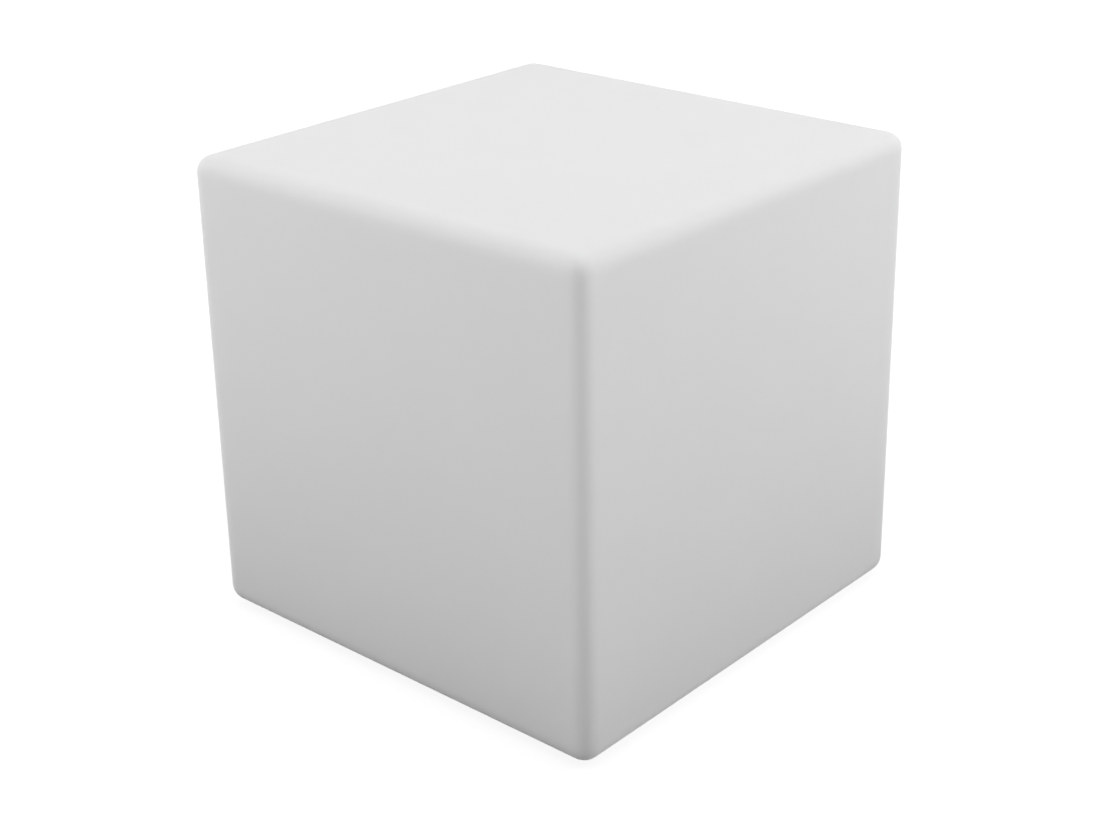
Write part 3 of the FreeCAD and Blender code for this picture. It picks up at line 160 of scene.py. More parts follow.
def lathe(bm, profile, centre=(0.0, 0.0), count=96, closed=False):
    """A surface of revolution about an upright axis, from (radius, z) points."""
    rings = [ring(bm, radius, z, centre, count) for radius, z in profile]
    for low, high in zip(rings, rings[1:]):
        band(bm, low, high)
    if closed:
        band(bm, rings[-1], rings[0])
    return rings


def fill_level(bm, z):
    """Closes every open edge loop at a height with flat faces, leaving the loops inside others open."""
    level = mm(z)
    edges = [
        edge
        for edge in bm.edges
        if len(edge.link_faces) == 1 and all(abs(vert.co.z - level) < 1e-7 for vert in edge.verts)
    ]
    bmesh.ops.triangle_fill(bm, use_beauty=True, use_dissolve=False, edges=edges)


def mesh_from(bm, name):
    """Turns a bmesh into a mesh, normals out."""
    bmesh.ops.recalc_face_normals(bm, faces=bm.faces)
    mesh = bpy.data.meshes.new(name)
    bm.to_mesh(mesh)
    bm.free()
    return mesh


def make_object(name, mesh, material, body="root", replaced=(), sharp=40):
    """A piece from a mesh, smooth but for edges sharper than an angle. With no body it rides on none yet."""
    mesh.name = name
    mesh.materials.append(material)
    mesh.shade_smooth()
    mesh.set_sharp_from_angle(angle=math.radians(sharp))
    piece = bpy.data.objects.new(name, mesh)
    bpy.context.scene.collection.objects.link(piece)
    weigh = piece.modifiers.new("even_shading", "WEIGHTED_NORMAL")
    weigh.keep_sharp = True
    weigh.weight = 50
    if replaced:
        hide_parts(*replaced)
    if body:
        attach(piece, body)
    return piece


# ---------------------------------------------------------------- materials


class Shader:
    """A node material under construction, with the principled shader at its end."""

    def __init__(self, name):
        self.material = bpy.data.materials.new(name)
        self.material.use_nodes = True
        self.tree = self.material.node_tree
        self.principled = next(n for n in self.tree.nodes if n.type == "BSDF_PRINCIPLED")
        self.place = self.add("ShaderNodeTexCoord").outputs["Object"]

    def add(self, kind, settings=None, **inputs):
        """A node, with its settings and its input values or links."""
        node = self.tree.nodes.new(kind)
        for key, value in (settings or {}).items():
            setattr(node, key, value)
        for key, value in inputs.items():
            self.feed(node.inputs[key.replace("_", " ")], value)
        return node

    def feed(self, socket, value):
        """Sets an input to a value, or links an output to it."""
        if isinstance(value, bpy.types.NodeSocket):
            self.tree.links.new(value, socket)
        else:
            socket.default_value = value

    def set(self, **values):
        """Values on the principled shader's own sockets."""
        for key, value in values.items():
            self.feed(self.principled.inputs[key.replace("_", " ")], value)
        return self

    def noise(self, scale, detail=3.0, roughness=0.5, stretch=None):
        """A noise factor. The scale is in features per metre, and stretch scales the three axes."""
        place = self.place
        if stretch:
            place = self.add("ShaderNodeMapping", Vector=place, Scale=stretch).outputs["Vector"]
        node = self.add("ShaderNodeTexNoise", Vector=place, Scale=scale, Detail=detail, Roughness=roughness)
        return node.outputs["Fac"]

    def spread(self, factor, low, high, start=0.3, end=0.7):
        """A factor stretched to run from low to high."""
        node = self.add(
            "ShaderNodeMapRange", Value=factor, From_Min=start, From_Max=end, To_Min=low, To_Max=high
        )
        return node.outputs["Result"]

    def mix(self, factor, first, second):
        """A colour between two colours."""
        node = self.add("ShaderNodeMix", {"data_type": "RGBA"})
        self.feed(node.inputs["Factor"], factor)
        self.feed(node.inputs[6], first if isinstance(first, bpy.types.NodeSocket) else (*first, 1.0))
        self.feed(node.inputs[7], second if isinstance(second, bpy.types.NodeSocket) else (*second, 1.0))
        return node.outputs[2]

    def maths(self, operation, first, second=0.0):
        """A sum, product, comparison and so on."""
        node = self.add("ShaderNodeMath", {"operation": operation})
        self.feed(node.inputs[0], first)
        self.feed(node.inputs[1], second)
        return node.outputs[0]

    def axis(self, letter):
        """One coordinate of the place."""
        return self.add("ShaderNodeSeparateXYZ", Vector=self.place).outputs[letter]

    def bump(self, *layers):
        """Relief from (height factor, depth in millimetres) layers."""
        normal = None
        for factor, depth in layers:
            node = self.add("ShaderNodeBump", Strength=1.0, Distance=mm(depth), Height=factor)
            if normal is not None:
                self.feed(node.inputs["Normal"], normal)
            normal = node.outputs["Normal"]
        self.feed(self.principled.inputs["Normal"], normal)
        return self


SHELL_COLOR = (0.90, 0.90, 0.898)
# In millimetres: how far the diodes' windows sink, half a cell's sleeve, and a capacitor's bare top.
PHOSPHOR_SINK = 0.2
SLEEVE_HALF = 30.95
CAN_TOP = 0.25


def tint(color, factor):
    """A colour made lighter or darker."""
    return tuple(min(1.0, channel * factor) for channel in color)


def moulded(name, color, rough, grain=1800, relief=0.01, mottle=0.03, **extra):
    """Moulded plastic or rubber: faint mottling, uneven gloss and a fine grain."""
    shader = Shader(name)
    patches = shader.noise(45, 4)
    shader.set(
        Base_Color=shader.mix(patches, tint(color, 1 - mottle), tint(color, 1 + mottle)),
        Roughness=shader.spread(shader.noise(160, 3), rough - 0.06, rough + 0.06),
        **extra,
    )
    shader.bump((shader.noise(grain, 2), relief), (shader.noise(30, 2), relief * 4))
    return shader.material


def metal(name, color, rough, brushed=(60, 60, 1), relief=0.003):
    """Worked metal with fine marks along one axis."""
    shader = Shader(name)
    marks = shader.noise(90, 4, 0.6, stretch=brushed)
    shader.set(
        Metallic=1.0,
        Base_Color=shader.mix(shader.noise(220, 3), tint(color, 0.9), tint(color, 1.08)),
        Roughness=shader.spread(marks, rough - 0.08, rough + 0.12),
    )
    shader.bump((marks, relief))
    return shader.material


def polyethylene():
    """The shell: white rotomoulded plastic, slightly translucent, with a soft uneven skin."""
    shader = Shader("polyethylene")
    clouds = shader.noise(9, 4, 0.55)
    specks = shader.noise(700, 2, 0.7)
    color = shader.mix(shader.spread(clouds, 0, 1), SHELL_COLOR, tint(SHELL_COLOR, 0.985))
    color = shader.mix(shader.spread(specks, 0, 0.6, 0.62, 0.78), color, tint(SHELL_COLOR, 0.95))
    scuffs = shader.noise(45, 6, 0.65, stretch=(1, 1, 7))
    shader.set(
        Base_Color=color,
        Roughness=shader.spread(scuffs, 0.52, 0.64),
        Specular_IOR_Level=0.22,
        IOR=1.5,
        Subsurface_Weight=0.8,
        Subsurface_Radius=(1.0, 0.99, 0.98),
        Subsurface_Scale=mm(8.0),
    )
    shader.bump((shader.noise(320, 2), 0.018), (shader.noise(22, 2), 0.25), (shader.noise(1500, 2), 0.004))
    return shader.material


def frosted():
    """The diffuser: white translucent polycarbonate with a blasted inner face."""
    shader = Shader("frosted_dome")
    shader.set(
        Base_Color=shader.mix(shader.noise(30, 3), (0.93, 0.93, 0.92), (0.97, 0.97, 0.96)),
        Roughness=shader.spread(shader.noise(300, 3), 0.38, 0.52),
        Transmission_Weight=0.55,
        Subsurface_Weight=0.3,
        Subsurface_Radius=(1.0, 1.0, 1.0),
        Subsurface_Scale=mm(2.0),
    )
    shader.bump((shader.noise(2200, 2), 0.006))
    return shader.material


def clear_plastic():
    """The light guide: slightly milky acrylic with a few draw marks."""
    shader = Shader("clear_acrylic")
    shader.set(
        Base_Color=shader.mix(shader.noise(80, 2), (0.88, 0.90, 0.90), (0.93, 0.95, 0.95)),
        Roughness=shader.spread(shader.noise(200, 3, stretch=(1, 1, 0.1)), 0.10, 0.22),
        Transmission_Weight=0.65,
        IOR=1.49,
    )
    return shader.material


def solder_mask(name, mask, track, scale):
    """A circuit board: solder mask over tracks that run in steps, with tinned pads."""
    shader = Shader(name)
    cells = shader.add("ShaderNodeTexVoronoi", {"distance": "MANHATTAN"}, Vector=shader.place, Scale=scale)
    tracks = shader.maths("PINGPONG", cells.outputs["Distance"], 0.12)
    lines = shader.spread(tracks, 0, 1, 0.035, 0.05)
    pads = shader.add("ShaderNodeTexVoronoi", Vector=shader.place, Scale=scale * 2.3)
    dots = shader.spread(pads.outputs["Distance"], 1, 0, 0.10, 0.13)
    color = shader.mix(lines, mask, track)
    shader.set(
        Base_Color=shader.mix(dots, color, (0.72, 0.72, 0.7)),
        Roughness=shader.spread(shader.noise(500, 3), 0.28, 0.42),
        Coat_Weight=0.3,
        Coat_Roughness=0.2,
    )
    shader.bump((lines, 0.02), (dots, 0.03))
    return shader.material


def led_package_material():
    """Diode packages: white bodies with a yellow phosphor window, told apart by their height."""
    shader = Shader("diode_package")
    window_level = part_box("led_packages")[1].z - mm(PHOSPHOR_SINK)
    in_window = shader.maths("LESS_THAN", shader.axis("Z"), window_level)
    up = shader.add("ShaderNodeSeparateXYZ", Vector=shader.add("ShaderNodeNewGeometry").outputs["Normal"])
    facing_up = shader.maths("GREATER_THAN", up.outputs["Z"], 0.7)
    phosphor = shader.mix(shader.noise(2600, 3), (0.86, 0.66, 0.10), (0.93, 0.78, 0.22))
    body = shader.mix(shader.noise(900, 2), (0.84, 0.83, 0.79), (0.9, 0.9, 0.87))
    shader.set(
        Base_Color=shader.mix(shader.maths("MULTIPLY", in_window, facing_up), body, phosphor),
        Roughness=shader.spread(shader.noise(800, 2), 0.3, 0.45),
    )
    shader.bump((shader.noise(3000, 2), 0.005))
    return shader.material


def shrink_wrap():
    """A cell's sleeve: thin glossy film, faintly wrinkled, with a bare steel cap at its end."""
    shader = Shader("cell_sleeve")
    along = shader.maths("ABSOLUTE", shader.axis("X"))
    bare = shader.maths("GREATER_THAN", along, mm(SLEEVE_HALF))
    wrinkles = shader.noise(70, 4, 0.6, stretch=(0.3, 2, 2))
    film = shader.mix(wrinkles, (0.035, 0.19, 0.36), (0.05, 0.26, 0.46))
    steel = shader.mix(shader.noise(900, 2), (0.5, 0.5, 0.49), (0.62, 0.62, 0.6))
    shader.set(
        Base_Color=shader.mix(bare, film, steel),
        Metallic=bare,
        Roughness=shader.spread(wrinkles, 0.22, 0.36),
        Coat_Weight=0.2,
    )
    shader.bump((wrinkles, 0.05))
    return shader.material


def capacitor_sleeve():
    """Upright capacitors: black sleeves, a pale stripe on one side and a scored silver top."""
    shader = Shader("capacitor_sleeve")
    top_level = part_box("board_capacitors")[1].z - mm(CAN_TOP)
    on_top = shader.maths("GREATER_THAN", shader.axis("Z"), top_level)
    normal = shader.add("ShaderNodeSeparateXYZ", Vector=shader.add("ShaderNodeNewGeometry").outputs["Normal"])
    stripe = shader.maths("GREATER_THAN", normal.outputs["X"], 0.86)
    sleeve = shader.mix(stripe, (0.025, 0.026, 0.03), (0.55, 0.56, 0.55))
    shader.set(
        Base_Color=shader.mix(on_top, sleeve, (0.66, 0.66, 0.65)),
        Metallic=on_top,
        Roughness=shader.spread(shader.noise(600, 3), 0.28, 0.42),
    )
    shader.bump((shader.noise(900, 2), 0.01))
    return shader.material


def foam():
    """Closed-cell foam."""
    shader = Shader("closed_cell_foam")
    cells = shader.add("ShaderNodeTexVoronoi", Vector=shader.place, Scale=1400.0).outputs["Distance"]
    shader.set(
        Base_Color=shader.mix(cells, (0.035, 0.035, 0.038), (0.09, 0.09, 0.095)),
        Roughness=shader.spread(cells, 0.8, 0.95, 0, 1),
    )
    shader.bump((cells, 0.12))
    return shader.material


# moulded() takes a name, colour, roughness, grain per metre, relief in millimetres and mottling.
# metal() takes a name, colour, roughness, the stretch of its marks and relief in millimetres.
MATERIALS = {
    "shell": polyethylene(),
    "abs": moulded("textured_abs", (0.80, 0.80, 0.79), 0.55, 2400, 0.02, 0.012, Specular_IOR_Level=0.45),
    "rubber": moulded("foot_rubber", (0.045, 0.045, 0.047), 0.72, 1300, 0.03, 0.12, Sheen_Weight=0.15),
    "silicone": moulded(
        "seal_silicone", (0.70, 0.70, 0.68), 0.48, 1500, 0.01, 0.03,
        Subsurface_Weight=0.15, Subsurface_Scale=mm(1.0),
    ),
    "cap": moulded("cap_silicone", (0.055, 0.056, 0.060), 0.50, 1600, 0.012, 0.08, Sheen_Weight=0.2),
    "nylon": moulded("black_nylon", (0.032, 0.033, 0.036), 0.42, 2000, 0.008, 0.1),
    "button": moulded("button_gloss", (0.050, 0.051, 0.055), 0.28, 2600, 0.003, 0.06, Coat_Weight=0.25),
    "receiver": moulded("infrared_filter", (0.03, 0.012, 0.016), 0.12, 1500, 0.001, 0.1, Coat_Weight=0.6),
    "epoxy": moulded("black_epoxy", (0.03, 0.03, 0.032), 0.58, 3500, 0.01, 0.1),
    "ferrite": moulded("ferrite", (0.075, 0.075, 0.08), 0.7, 2600, 0.03, 0.12),
    "white_nylon": moulded(
        "natural_nylon", (0.78, 0.76, 0.69), 0.45, 1800, 0.006, 0.03,
        Subsurface_Weight=0.2, Subsurface_Scale=mm(1.0),
    ),
    "red_pvc": moulded("red_insulation", (0.52, 0.022, 0.018), 0.38, 900, 0.01, 0.05),
    "black_pvc": moulded("black_insulation", (0.02, 0.02, 0.021), 0.4, 900, 0.01, 0.1),
    "steel": metal("stainless_steel", (0.60, 0.60, 0.61), 0.28),
    "zinc": metal("zinc_plate", (0.58, 0.60, 0.64), 0.36, (1, 60, 60)),
    "nickel": metal("nickel_strip", (0.66, 0.64, 0.59), 0.3, (60, 1, 60)),
    "brass": metal("knurled_brass", (0.72, 0.52, 0.22), 0.34, (60, 60, 4), 0.01),
    "spring": metal("spring_steel", (0.46, 0.46, 0.47), 0.3, (8, 8, 60)),
    "dome": frosted(),
    "clear": clear_plastic(),
    "control_board": solder_mask("green_board", (0.012, 0.11, 0.045), (0.02, 0.17, 0.07), 160.0),
    "led_board": solder_mask("white_board", (0.80, 0.80, 0.78), (0.72, 0.72, 0.71), 90.0),
    "diodes": led_package_material(),
    "cells": shrink_wrap(),
    "capacitors": capacitor_sleeve(),
    "foam": foam(),
}

NODE_MATERIALS = {
    "module_base": "abs",
    "module_inserts": "brass",
    "foot_inserts": "brass",
    "foot_washers": "steel",
    "flange_gasket": "silicone",
    "dome_seal": "silicone",
    "button_seal": "silicone",
    "socket_seal": "silicone",
    "diffuser_dome": "dome",
    "led_board": "led_board",
    "led_packages": "diodes",
    "remote_receiver": "receiver",
    "control_board": "control_board",
    "board_chips": "epoxy",
    "power_inductor": "ferrite",
    "board_capacitors": "capacitors",
    "board_header": "nylon",
    "lead_plugs": "white_nylon",
    "status_led": "white_nylon",
    "cell_front": "cells",
    "cell_rear": "cells",
    "cell_tabs": "nickel",
    "cell_pads": "foam",
    "cell_bracket": "zinc",
    "button_body": "nylon",
    "power_button": "button",
    "button_nut": "nylon",
    "button_terminals": "nickel",
    "charge_socket": "nylon",
    "socket_nut": "nylon",
    "socket_pin": "nickel",
    "socket_terminals": "nickel",
    "light_guide": "clear",
    "battery_lead_red": "red_pvc",
    "battery_lead_black": "black_pvc",
    "button_lead_red": "red_pvc",
    "button_lead_black": "black_pvc",
    "socket_lead_red": "red_pvc",
    "socket_lead_black": "black_pvc",
}


def paint_node(node, material):
    """Gives a kept node its material."""
    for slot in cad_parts[node].material_slots:
        slot.link = "OBJECT"
        slot.material = material


# ---------------------------------------------------------------- shell


def edge_samples(flat_steps, corner_steps):
    """Steps across one face of a rounded block: (place on its flat part from -1 to 1, slope of the edge)."""
    slopes = [math.tan(math.radians(45.0 * (step + 1) / corner_steps)) for step in range(corner_steps)]
    low = [(-1.0, -slope) for slope in reversed(slopes)]
    flat = [(FLAT_SHARE * (2.0 * step / flat_steps - 1.0), 0.0) for step in range(flat_steps + 1)]
    high = [(1.0, slope) for slope in slopes]
    return low + [(-1.0, 0.0)] + flat + [(1.0, 0.0)] + high


def soft_point(face_axis, side, u_sample, v_sample, half, radius):
    """The point of a soft-edged block, about its middle, that two steps across a face lead to."""
    places = [0.0, 0.0, 0.0]
    direction = Vector()
    for step, (place, slope) in enumerate(((side, side), u_sample, v_sample)):
        axis = (face_axis + step) % 3
        places[axis] = place
        direction[axis] = slope
    norm = sum(abs(part) ** SOFT_POWER for part in direction) ** (1 / SOFT_POWER)
    point = direction * (radius / norm)
    for axis, place in enumerate(places):
        point[axis] += place * (half[axis] - radius)
    return point


def rounded_block(bm, half_base, half_top, low, high, radius, flat_steps=12, corner_steps=7):
    """A drafted block whose edges blend softly into its faces. The flat part of its base is left open."""
    middle, half_height = (low + high) / 2, (high - low) / 2
    half = Vector((half_base, half_base, half_height))
    samples = edge_samples(flat_steps, corner_steps)
    last = len(samples) - 1
    flat_range = range(corner_steps + 1, last - corner_steps - 1)
    for face_axis in range(3):
        for side in (-1, 1):
            grid = []
            for u_sample in samples:
                row = []
                for v_sample in samples:
                    point = soft_point(face_axis, side, u_sample, v_sample, half, radius)
                    lean = half_base + (half_top - half_base) * (point.z + half_height) / (2 * half_height)
                    point.x *= lean / half_base
                    point.y *= lean / half_base
                    point.z += middle
                    row.append(bm.verts.new(mm(tuple(point))))
                grid.append(row)
            for i in range(last):
                for j in range(last):
                    if face_axis == 2 and side < 0 and i in flat_range and j in flat_range:
                        continue
                    bm.faces.new((grid[i][j], grid[i + 1][j], grid[i + 1][j + 1], grid[i][j + 1]))
    loose = [vert for vert in bm.verts if not vert.link_faces]
    bmesh.ops.delete(bm, geom=loose, context="VERTS")
    bmesh.ops.remove_doubles(bm, verts=bm.verts, dist=1e-6)


def around(radius, count):
    """Points evenly spaced on a circle, the first one towards +X."""
    angles = [2 * math.pi * step / count for step in range(count)]
    return [(radius * math.cos(angle), radius * math.sin(angle)) for angle in angles]


def corners(offset):
    """The four points at plus and minus an offset."""
    return [(x * offset, y * offset) for x in (-1, 1) for y in (-1, 1)]


def shoulder(radius, top, bend, start=0, steps=4):
    """Profile points round the upper edge of a lathed wall, from its side to its flat top."""
    return arc(radius - bend, top - bend, bend, start, 90, steps)


def boss(bm, centre, hole_low, wall_low):
    """A blind hole for an insert, and the boss round it on the hollow side."""
    hole_high = hole_low + INSERT_LENGTH
    hole = [(INSERT_RADIUS, hole_low), (INSERT_RADIUS, hole_high - HOLE_BEVEL)]
    hole += [(INSERT_RADIUS - HOLE_BEVEL, hole_high)]
    lathe(bm, hole, centre, BOSS_SIDES)
    radius = INSERT_RADIUS + SHELL_WALL
    outside = [(radius + toe, wall_low + rise) for toe, rise in BOSS_TOE]
    outside += shoulder(radius, hole_high + SHELL_WALL, BOSS_ROUND)
    lathe(bm, outside, centre, BOSS_SIDES)


def module_pocket(bm):
    """The round pocket folded into the base: its lip and wall, the opening in its roof, and its back."""
    lip_centre = MOUTH_RADIUS + LIP_RADIUS - LIP_INSET
    lip = [(lip_centre + LIP_FLAT, SHELL_LOW)]
    lip += arc(lip_centre, SHELL_LOW + LIP_RADIUS, LIP_RADIUS, 270, 188, 7)
    lathe(bm, lip + shoulder(POCKET_RADIUS, CEILING, CEILING_RADIUS, 5, 5), count=POCKET_SIDES)
    roof = CEILING + SHELL_WALL
    rim = [(OPENING_RADIUS + OPENING_BEVEL, CEILING), (OPENING_RADIUS, CEILING + OPENING_BEVEL)]
    rim += [(OPENING_RADIUS, roof - OPENING_BEVEL), (OPENING_RADIUS + OPENING_BEVEL, roof)]
    lathe(bm, rim, count=OPENING_SIDES)
    back_floor = SHELL_LOW + SHELL_WALL
    back = [(MOUTH_RADIUS + SHELL_WALL + BACK_ROUND, back_floor)]
    back_centre = MOUTH_RADIUS + SHELL_WALL + BACK_ROUND - BACK_INSET
    back += arc(back_centre, back_floor + BACK_ROUND, BACK_ROUND, 265, 190, 5)
    back += shoulder(POCKET_RADIUS + SHELL_WALL, roof, BACK_ROUND, 5, 6)
    lathe(bm, back, count=POCKET_SIDES)
    for centre in around(SCREW_CIRCLE, FLANGE_SCREWS):
        boss(bm, centre, CEILING, roof)


def foot_recess(bm, centre):
    """One foot's recess in the base, its back, and the boss for its insert."""
    mouth = [(RECESS_RADIUS + 2 * RECESS_LIP, SHELL_LOW)]
    mouth += arc(RECESS_RADIUS + RECESS_LIP, SHELL_LOW + RECESS_LIP, RECESS_LIP, 270, 180, 4)
    cove = shoulder(RECESS_RADIUS, RECESS_CEILING, RECESS_COVE, steps=3)
    lathe(bm, mouth + cove, centre, RECESS_SIDES)
    radius = RECESS_RADIUS + SHELL_WALL
    back_floor = SHELL_LOW + SHELL_WALL
    top = RECESS_CEILING + SHELL_WALL
    back = [(radius + RECESS_TOE, back_floor), (radius, back_floor + RECESS_TOE)]
    lathe(bm, back + shoulder(radius, top, RECESS_ROUND), centre, RECESS_SIDES)
    boss(bm, centre, RECESS_CEILING, top)


def build_shell():
    """The cube's skin: soft edges outside, and the folded-in pocket, recesses and bosses below."""
    bm = bmesh.new()
    wall = SHELL_WALL
    rounded_block(bm, SHELL_HALF_BASE, SHELL_HALF_TOP, SHELL_LOW, SHELL_HIGH, SOFT_RADIUS)
    rounded_block(
        bm,
        SHELL_HALF_BASE - wall,
        SHELL_HALF_TOP - wall,
        SHELL_LOW + wall,
        SHELL_HIGH - wall,
        SOFT_RADIUS - wall,
    )
    module_pocket(bm)
    for centre in corners(FOOT_OFFSET):
        foot_recess(bm, centre)
    levels = {SHELL_LOW, SHELL_LOW + wall}
    for roof in (CEILING, RECESS_CEILING):
        levels |= {roof, roof + wall, roof + INSERT_LENGTH, roof + INSERT_LENGTH + wall}
    for level in sorted(levels):
        fill_level(bm, level)
    skin = mesh_from(bm, "cube_skin")
    return make_object(
        "cube_skin", skin, MATERIALS["shell"], replaced=("cube_shell",), sharp=50
    )


# ---------------------------------------------------------------- screws

# Of the head: shares of its radius or its height, and how far the crown falls per square millimetre.
HEAD_BULGE = 0.5
HEAD_FOOT = 0.2
CROWN_EDGE = 0.74
CROWN_STEP = 0.05
CROWN_RINGS = 15
CROWN_FALL = 0.03
CROSS_ARM = 0.66
CROSS_WIDTH = 0.26
CROSS_DEPTH = 0.62
CROSS_SIDE = 0.16
CROSS_END = 0.45
HEAD_SIDES = 48

# Of the shank: the thread's depth as a share of its pitch, and the millimetres by which its end draws in.
THREAD_DEPTH = 0.55
THREAD_SIDES = 20
ROWS_PER_TURN = 6
LAST_THREAD = 0.15
END_DRAW = 0.3
END_ROWS = 4

# The turn of each screw in a group, in degrees.
FIRST_SCREW_TURN = 11
SCREW_TURN = 37

M4 = {"head_radius": 3.8, "head_height": 2.2, "shank_radius": 2.0, "pitch": 0.7}
M3 = {"head_radius": 2.7, "head_height": 1.8, "shank_radius": 1.25, "pitch": 0.5}


def cross_recess(x, y, arm, width, depth):
    """How far a cross recess sinks the head at a point."""
    sunk = 0.0
    for along, across in ((abs(x), abs(y)), (abs(y), abs(x))):
        side = min(1.0, max(0.0, (width / 2 - across) / (width * CROSS_SIDE)))
        end = min(1.0, max(0.0, (arm - along) / (arm * CROSS_END)))
        sunk = max(sunk, depth * side * end)
    return sunk


def screw_head(bm, radius, height):
    """A pan head up from z = 0: a rounded side, then a low crown with the cross recess in it."""
    bulge = height * HEAD_BULGE
    edge = arc(radius - bulge, bulge, bulge, -30, 70, 5)
    side = lathe(bm, [(radius - height * HEAD_FOOT, 0.0)] + edge, count=HEAD_SIDES)
    rings = [side[-1]]
    for step in range(CROWN_RINGS):
        across = radius * (CROWN_EDGE - CROWN_STEP * step)
        rings.append(ring(bm, across, height - CROWN_FALL * across**2, count=HEAD_SIDES))
    rings.append(ring(bm, 0, height))
    for low, high in zip(rings, rings[1:]):
        band(bm, low, high)
    cross = (radius * CROSS_ARM, radius * CROSS_WIDTH, height * CROSS_DEPTH)
    for vert in [vert for verts in rings[1:] for vert in verts]:
        vert.co.z -= mm(cross_recess(vert.co.x * 1000, vert.co.y * 1000, *cross))


def screw_shank(bm, shank_radius, length, pitch):
    """A threaded shank down from z = 0. Its thread fades in and out, and its end draws in."""
    depth = pitch * THREAD_DEPTH
    rows = int(length / pitch * ROWS_PER_TURN)
    rings = []
    for row in range(rows + 1):
        z = -length * row / rows
        left = rows - row
        fade = min(1.0, row / ROWS_PER_TURN, left / ROWS_PER_TURN + LAST_THREAD)
        drawn = END_DRAW * (1 - min(1.0, left / END_ROWS))
        verts = []
        for step in range(THREAD_SIDES):
            angle = 2 * math.pi * step / THREAD_SIDES
            phase = (z / pitch - step / THREAD_SIDES) % 1.0
            groove = 1 - abs(2 * phase - 1)
            radius = shank_radius - depth * groove * fade - drawn
            verts.append(bm.verts.new(mm((radius * math.cos(angle), radius * math.sin(angle), z))))
        rings.append(verts)
    for low, high in zip(rings, rings[1:]):
        band(bm, low, high)
    bm.faces.new(rings[-1])


def screw_mesh(length, head_radius, head_height, shank_radius, pitch):
    """A pan-head screw with a cross recess and a real thread, its head up from z = 0."""
    bm = bmesh.new()
    screw_head(bm, head_radius, head_height)
    screw_shank(bm, shank_radius, length, pitch)
    fill_level(bm, 0.0)
    return mesh_from(bm, "screw_pattern")


def screw_group(node, pattern, spots, level, head_up):
    """Copies of one screw at each spot, each turned by its own amount, in place of a node."""
    bm = bmesh.new()
    for index, (x, y) in enumerate(spots):
        copy = bmesh.new()
        copy.from_mesh(pattern)
        turn = Matrix.Rotation(math.radians(SCREW_TURN * index + FIRST_SCREW_TURN), 4, "Z")
        place = Matrix.Translation(mm((x, y, level))) @ turn
        if not head_up:
            place = place @ Matrix.Rotation(math.pi, 4, "X")
        bmesh.ops.transform(copy, matrix=place, verts=copy.verts)
        loose = bpy.data.meshes.new("screw_copy")
        copy.to_mesh(loose)
        copy.free()
        bm.from_mesh(loose)
        bpy.data.meshes.remove(loose)
    bpy.data.meshes.remove(pattern)
    mesh = mesh_from(bm, node)
    return make_object(
        f"{node}_cut", mesh, MATERIALS["steel"], replaced=(node,), sharp=32
    )


# ---------------------------------------------------------------- feet

FOOT_TOP = 8.0
FOOT_RADIUS = 17.0
FOOT_BORE = 2.2
FOOT_BEVEL = 0.6
TAPER_RADIUS = 16.3
TAPER_LEVEL = 2.4
TREAD_RADIUS = 15.6
TREAD_ROUND = 1.0
FOOT_SIDES = 72

# Grip grooves and counterbore, with each side's points as (width beyond the middle or wall, height).
GROOVE_MIDDLES = (12.6, 10.2)
GROOVE_SIDE = [(0.5, 0.0), (0.3, 0.12), (0.2, 0.5)]
COUNTERBORE_RADIUS = 7.0
COUNTERBORE_TOP = 5.0
COUNTERBORE_MOUTH = [(0.5, 0.0), (0.1, 0.15), (0.0, 0.5)]


def build_foot(node, centre):
    """A rubber foot: tapered side, rounded tread with two grip grooves, and a counterbore."""
    bm = bmesh.new()
    profile = [(FOOT_BORE, FOOT_TOP), (FOOT_RADIUS - FOOT_BEVEL, FOOT_TOP)]
    profile += [(FOOT_RADIUS, FOOT_TOP - FOOT_BEVEL), (FOOT_RADIUS, SHELL_LOW)]
    profile += [(TAPER_RADIUS, TAPER_LEVEL)]
    profile += arc(TREAD_RADIUS - TREAD_ROUND, TREAD_ROUND, TREAD_ROUND, 10, -90, 6)
    for middle in GROOVE_MIDDLES:
        profile += [(middle + half, height) for half, height in GROOVE_SIDE]
        profile += [(middle - half, height) for half, height in reversed(GROOVE_SIDE)]
    profile += [(COUNTERBORE_RADIUS + flare, height) for flare, height in COUNTERBORE_MOUTH]
    profile += [(COUNTERBORE_RADIUS, COUNTERBORE_TOP), (FOOT_BORE, COUNTERBORE_TOP)]
    lathe(bm, profile, centre, FOOT_SIDES, closed=True)
    mesh = mesh_from(bm, node)
    return make_object(
        f"{node}_rubber", mesh, MATERIALS["rubber"], replaced=(node,), sharp=45
    )


# ---------------------------------------------------------------- the socket's cap

CAP_LOW = 20.0
CAP_HIGH = 22.0
CAP_RADIUS = 8.5
CAP_ROUND = 0.8
CAP_BEVEL = 0.2
DISH_RADIUS = 6.2
DISH_FLOOR = 5.4
DISH_DEPTH = 0.4

BUNG_RADIUS = 2.45
BUNG_ROOT = 0.5
BUNG_NECK = 0.4
BUNG_TOP = 23.8
BEAD_CENTRE = 2.35
BEAD_RISE = 0.8
BEAD_RADIUS = 0.35
NOSE_RADIUS = 1.8
NOSE_BEVEL = 0.3

TAB_LOW = 20.5
TAB_END = -22.0
RIB_HALVES = (2.1, 2.4, 2.4)
RIB_HALF_WIDTH = 0.3
RIB_START = 1.5
RIB_STEP = 1.3
RIB_DROP = 0.35
RIB_ROOT = 0.4

HINGE_Y = -45.0
STRAP_HALF = 3.0
STRAP_WAIST = 2.2
STRAP_HIGH = 23.0
WAIST_REACH = 1.0
WAIST_END = 1.9
TONGUE_LOW = 20.8
TONGUE_MIDDLE = -42.6
TONGUE_HALF = 1.6
TONGUE_LAP = 0.1

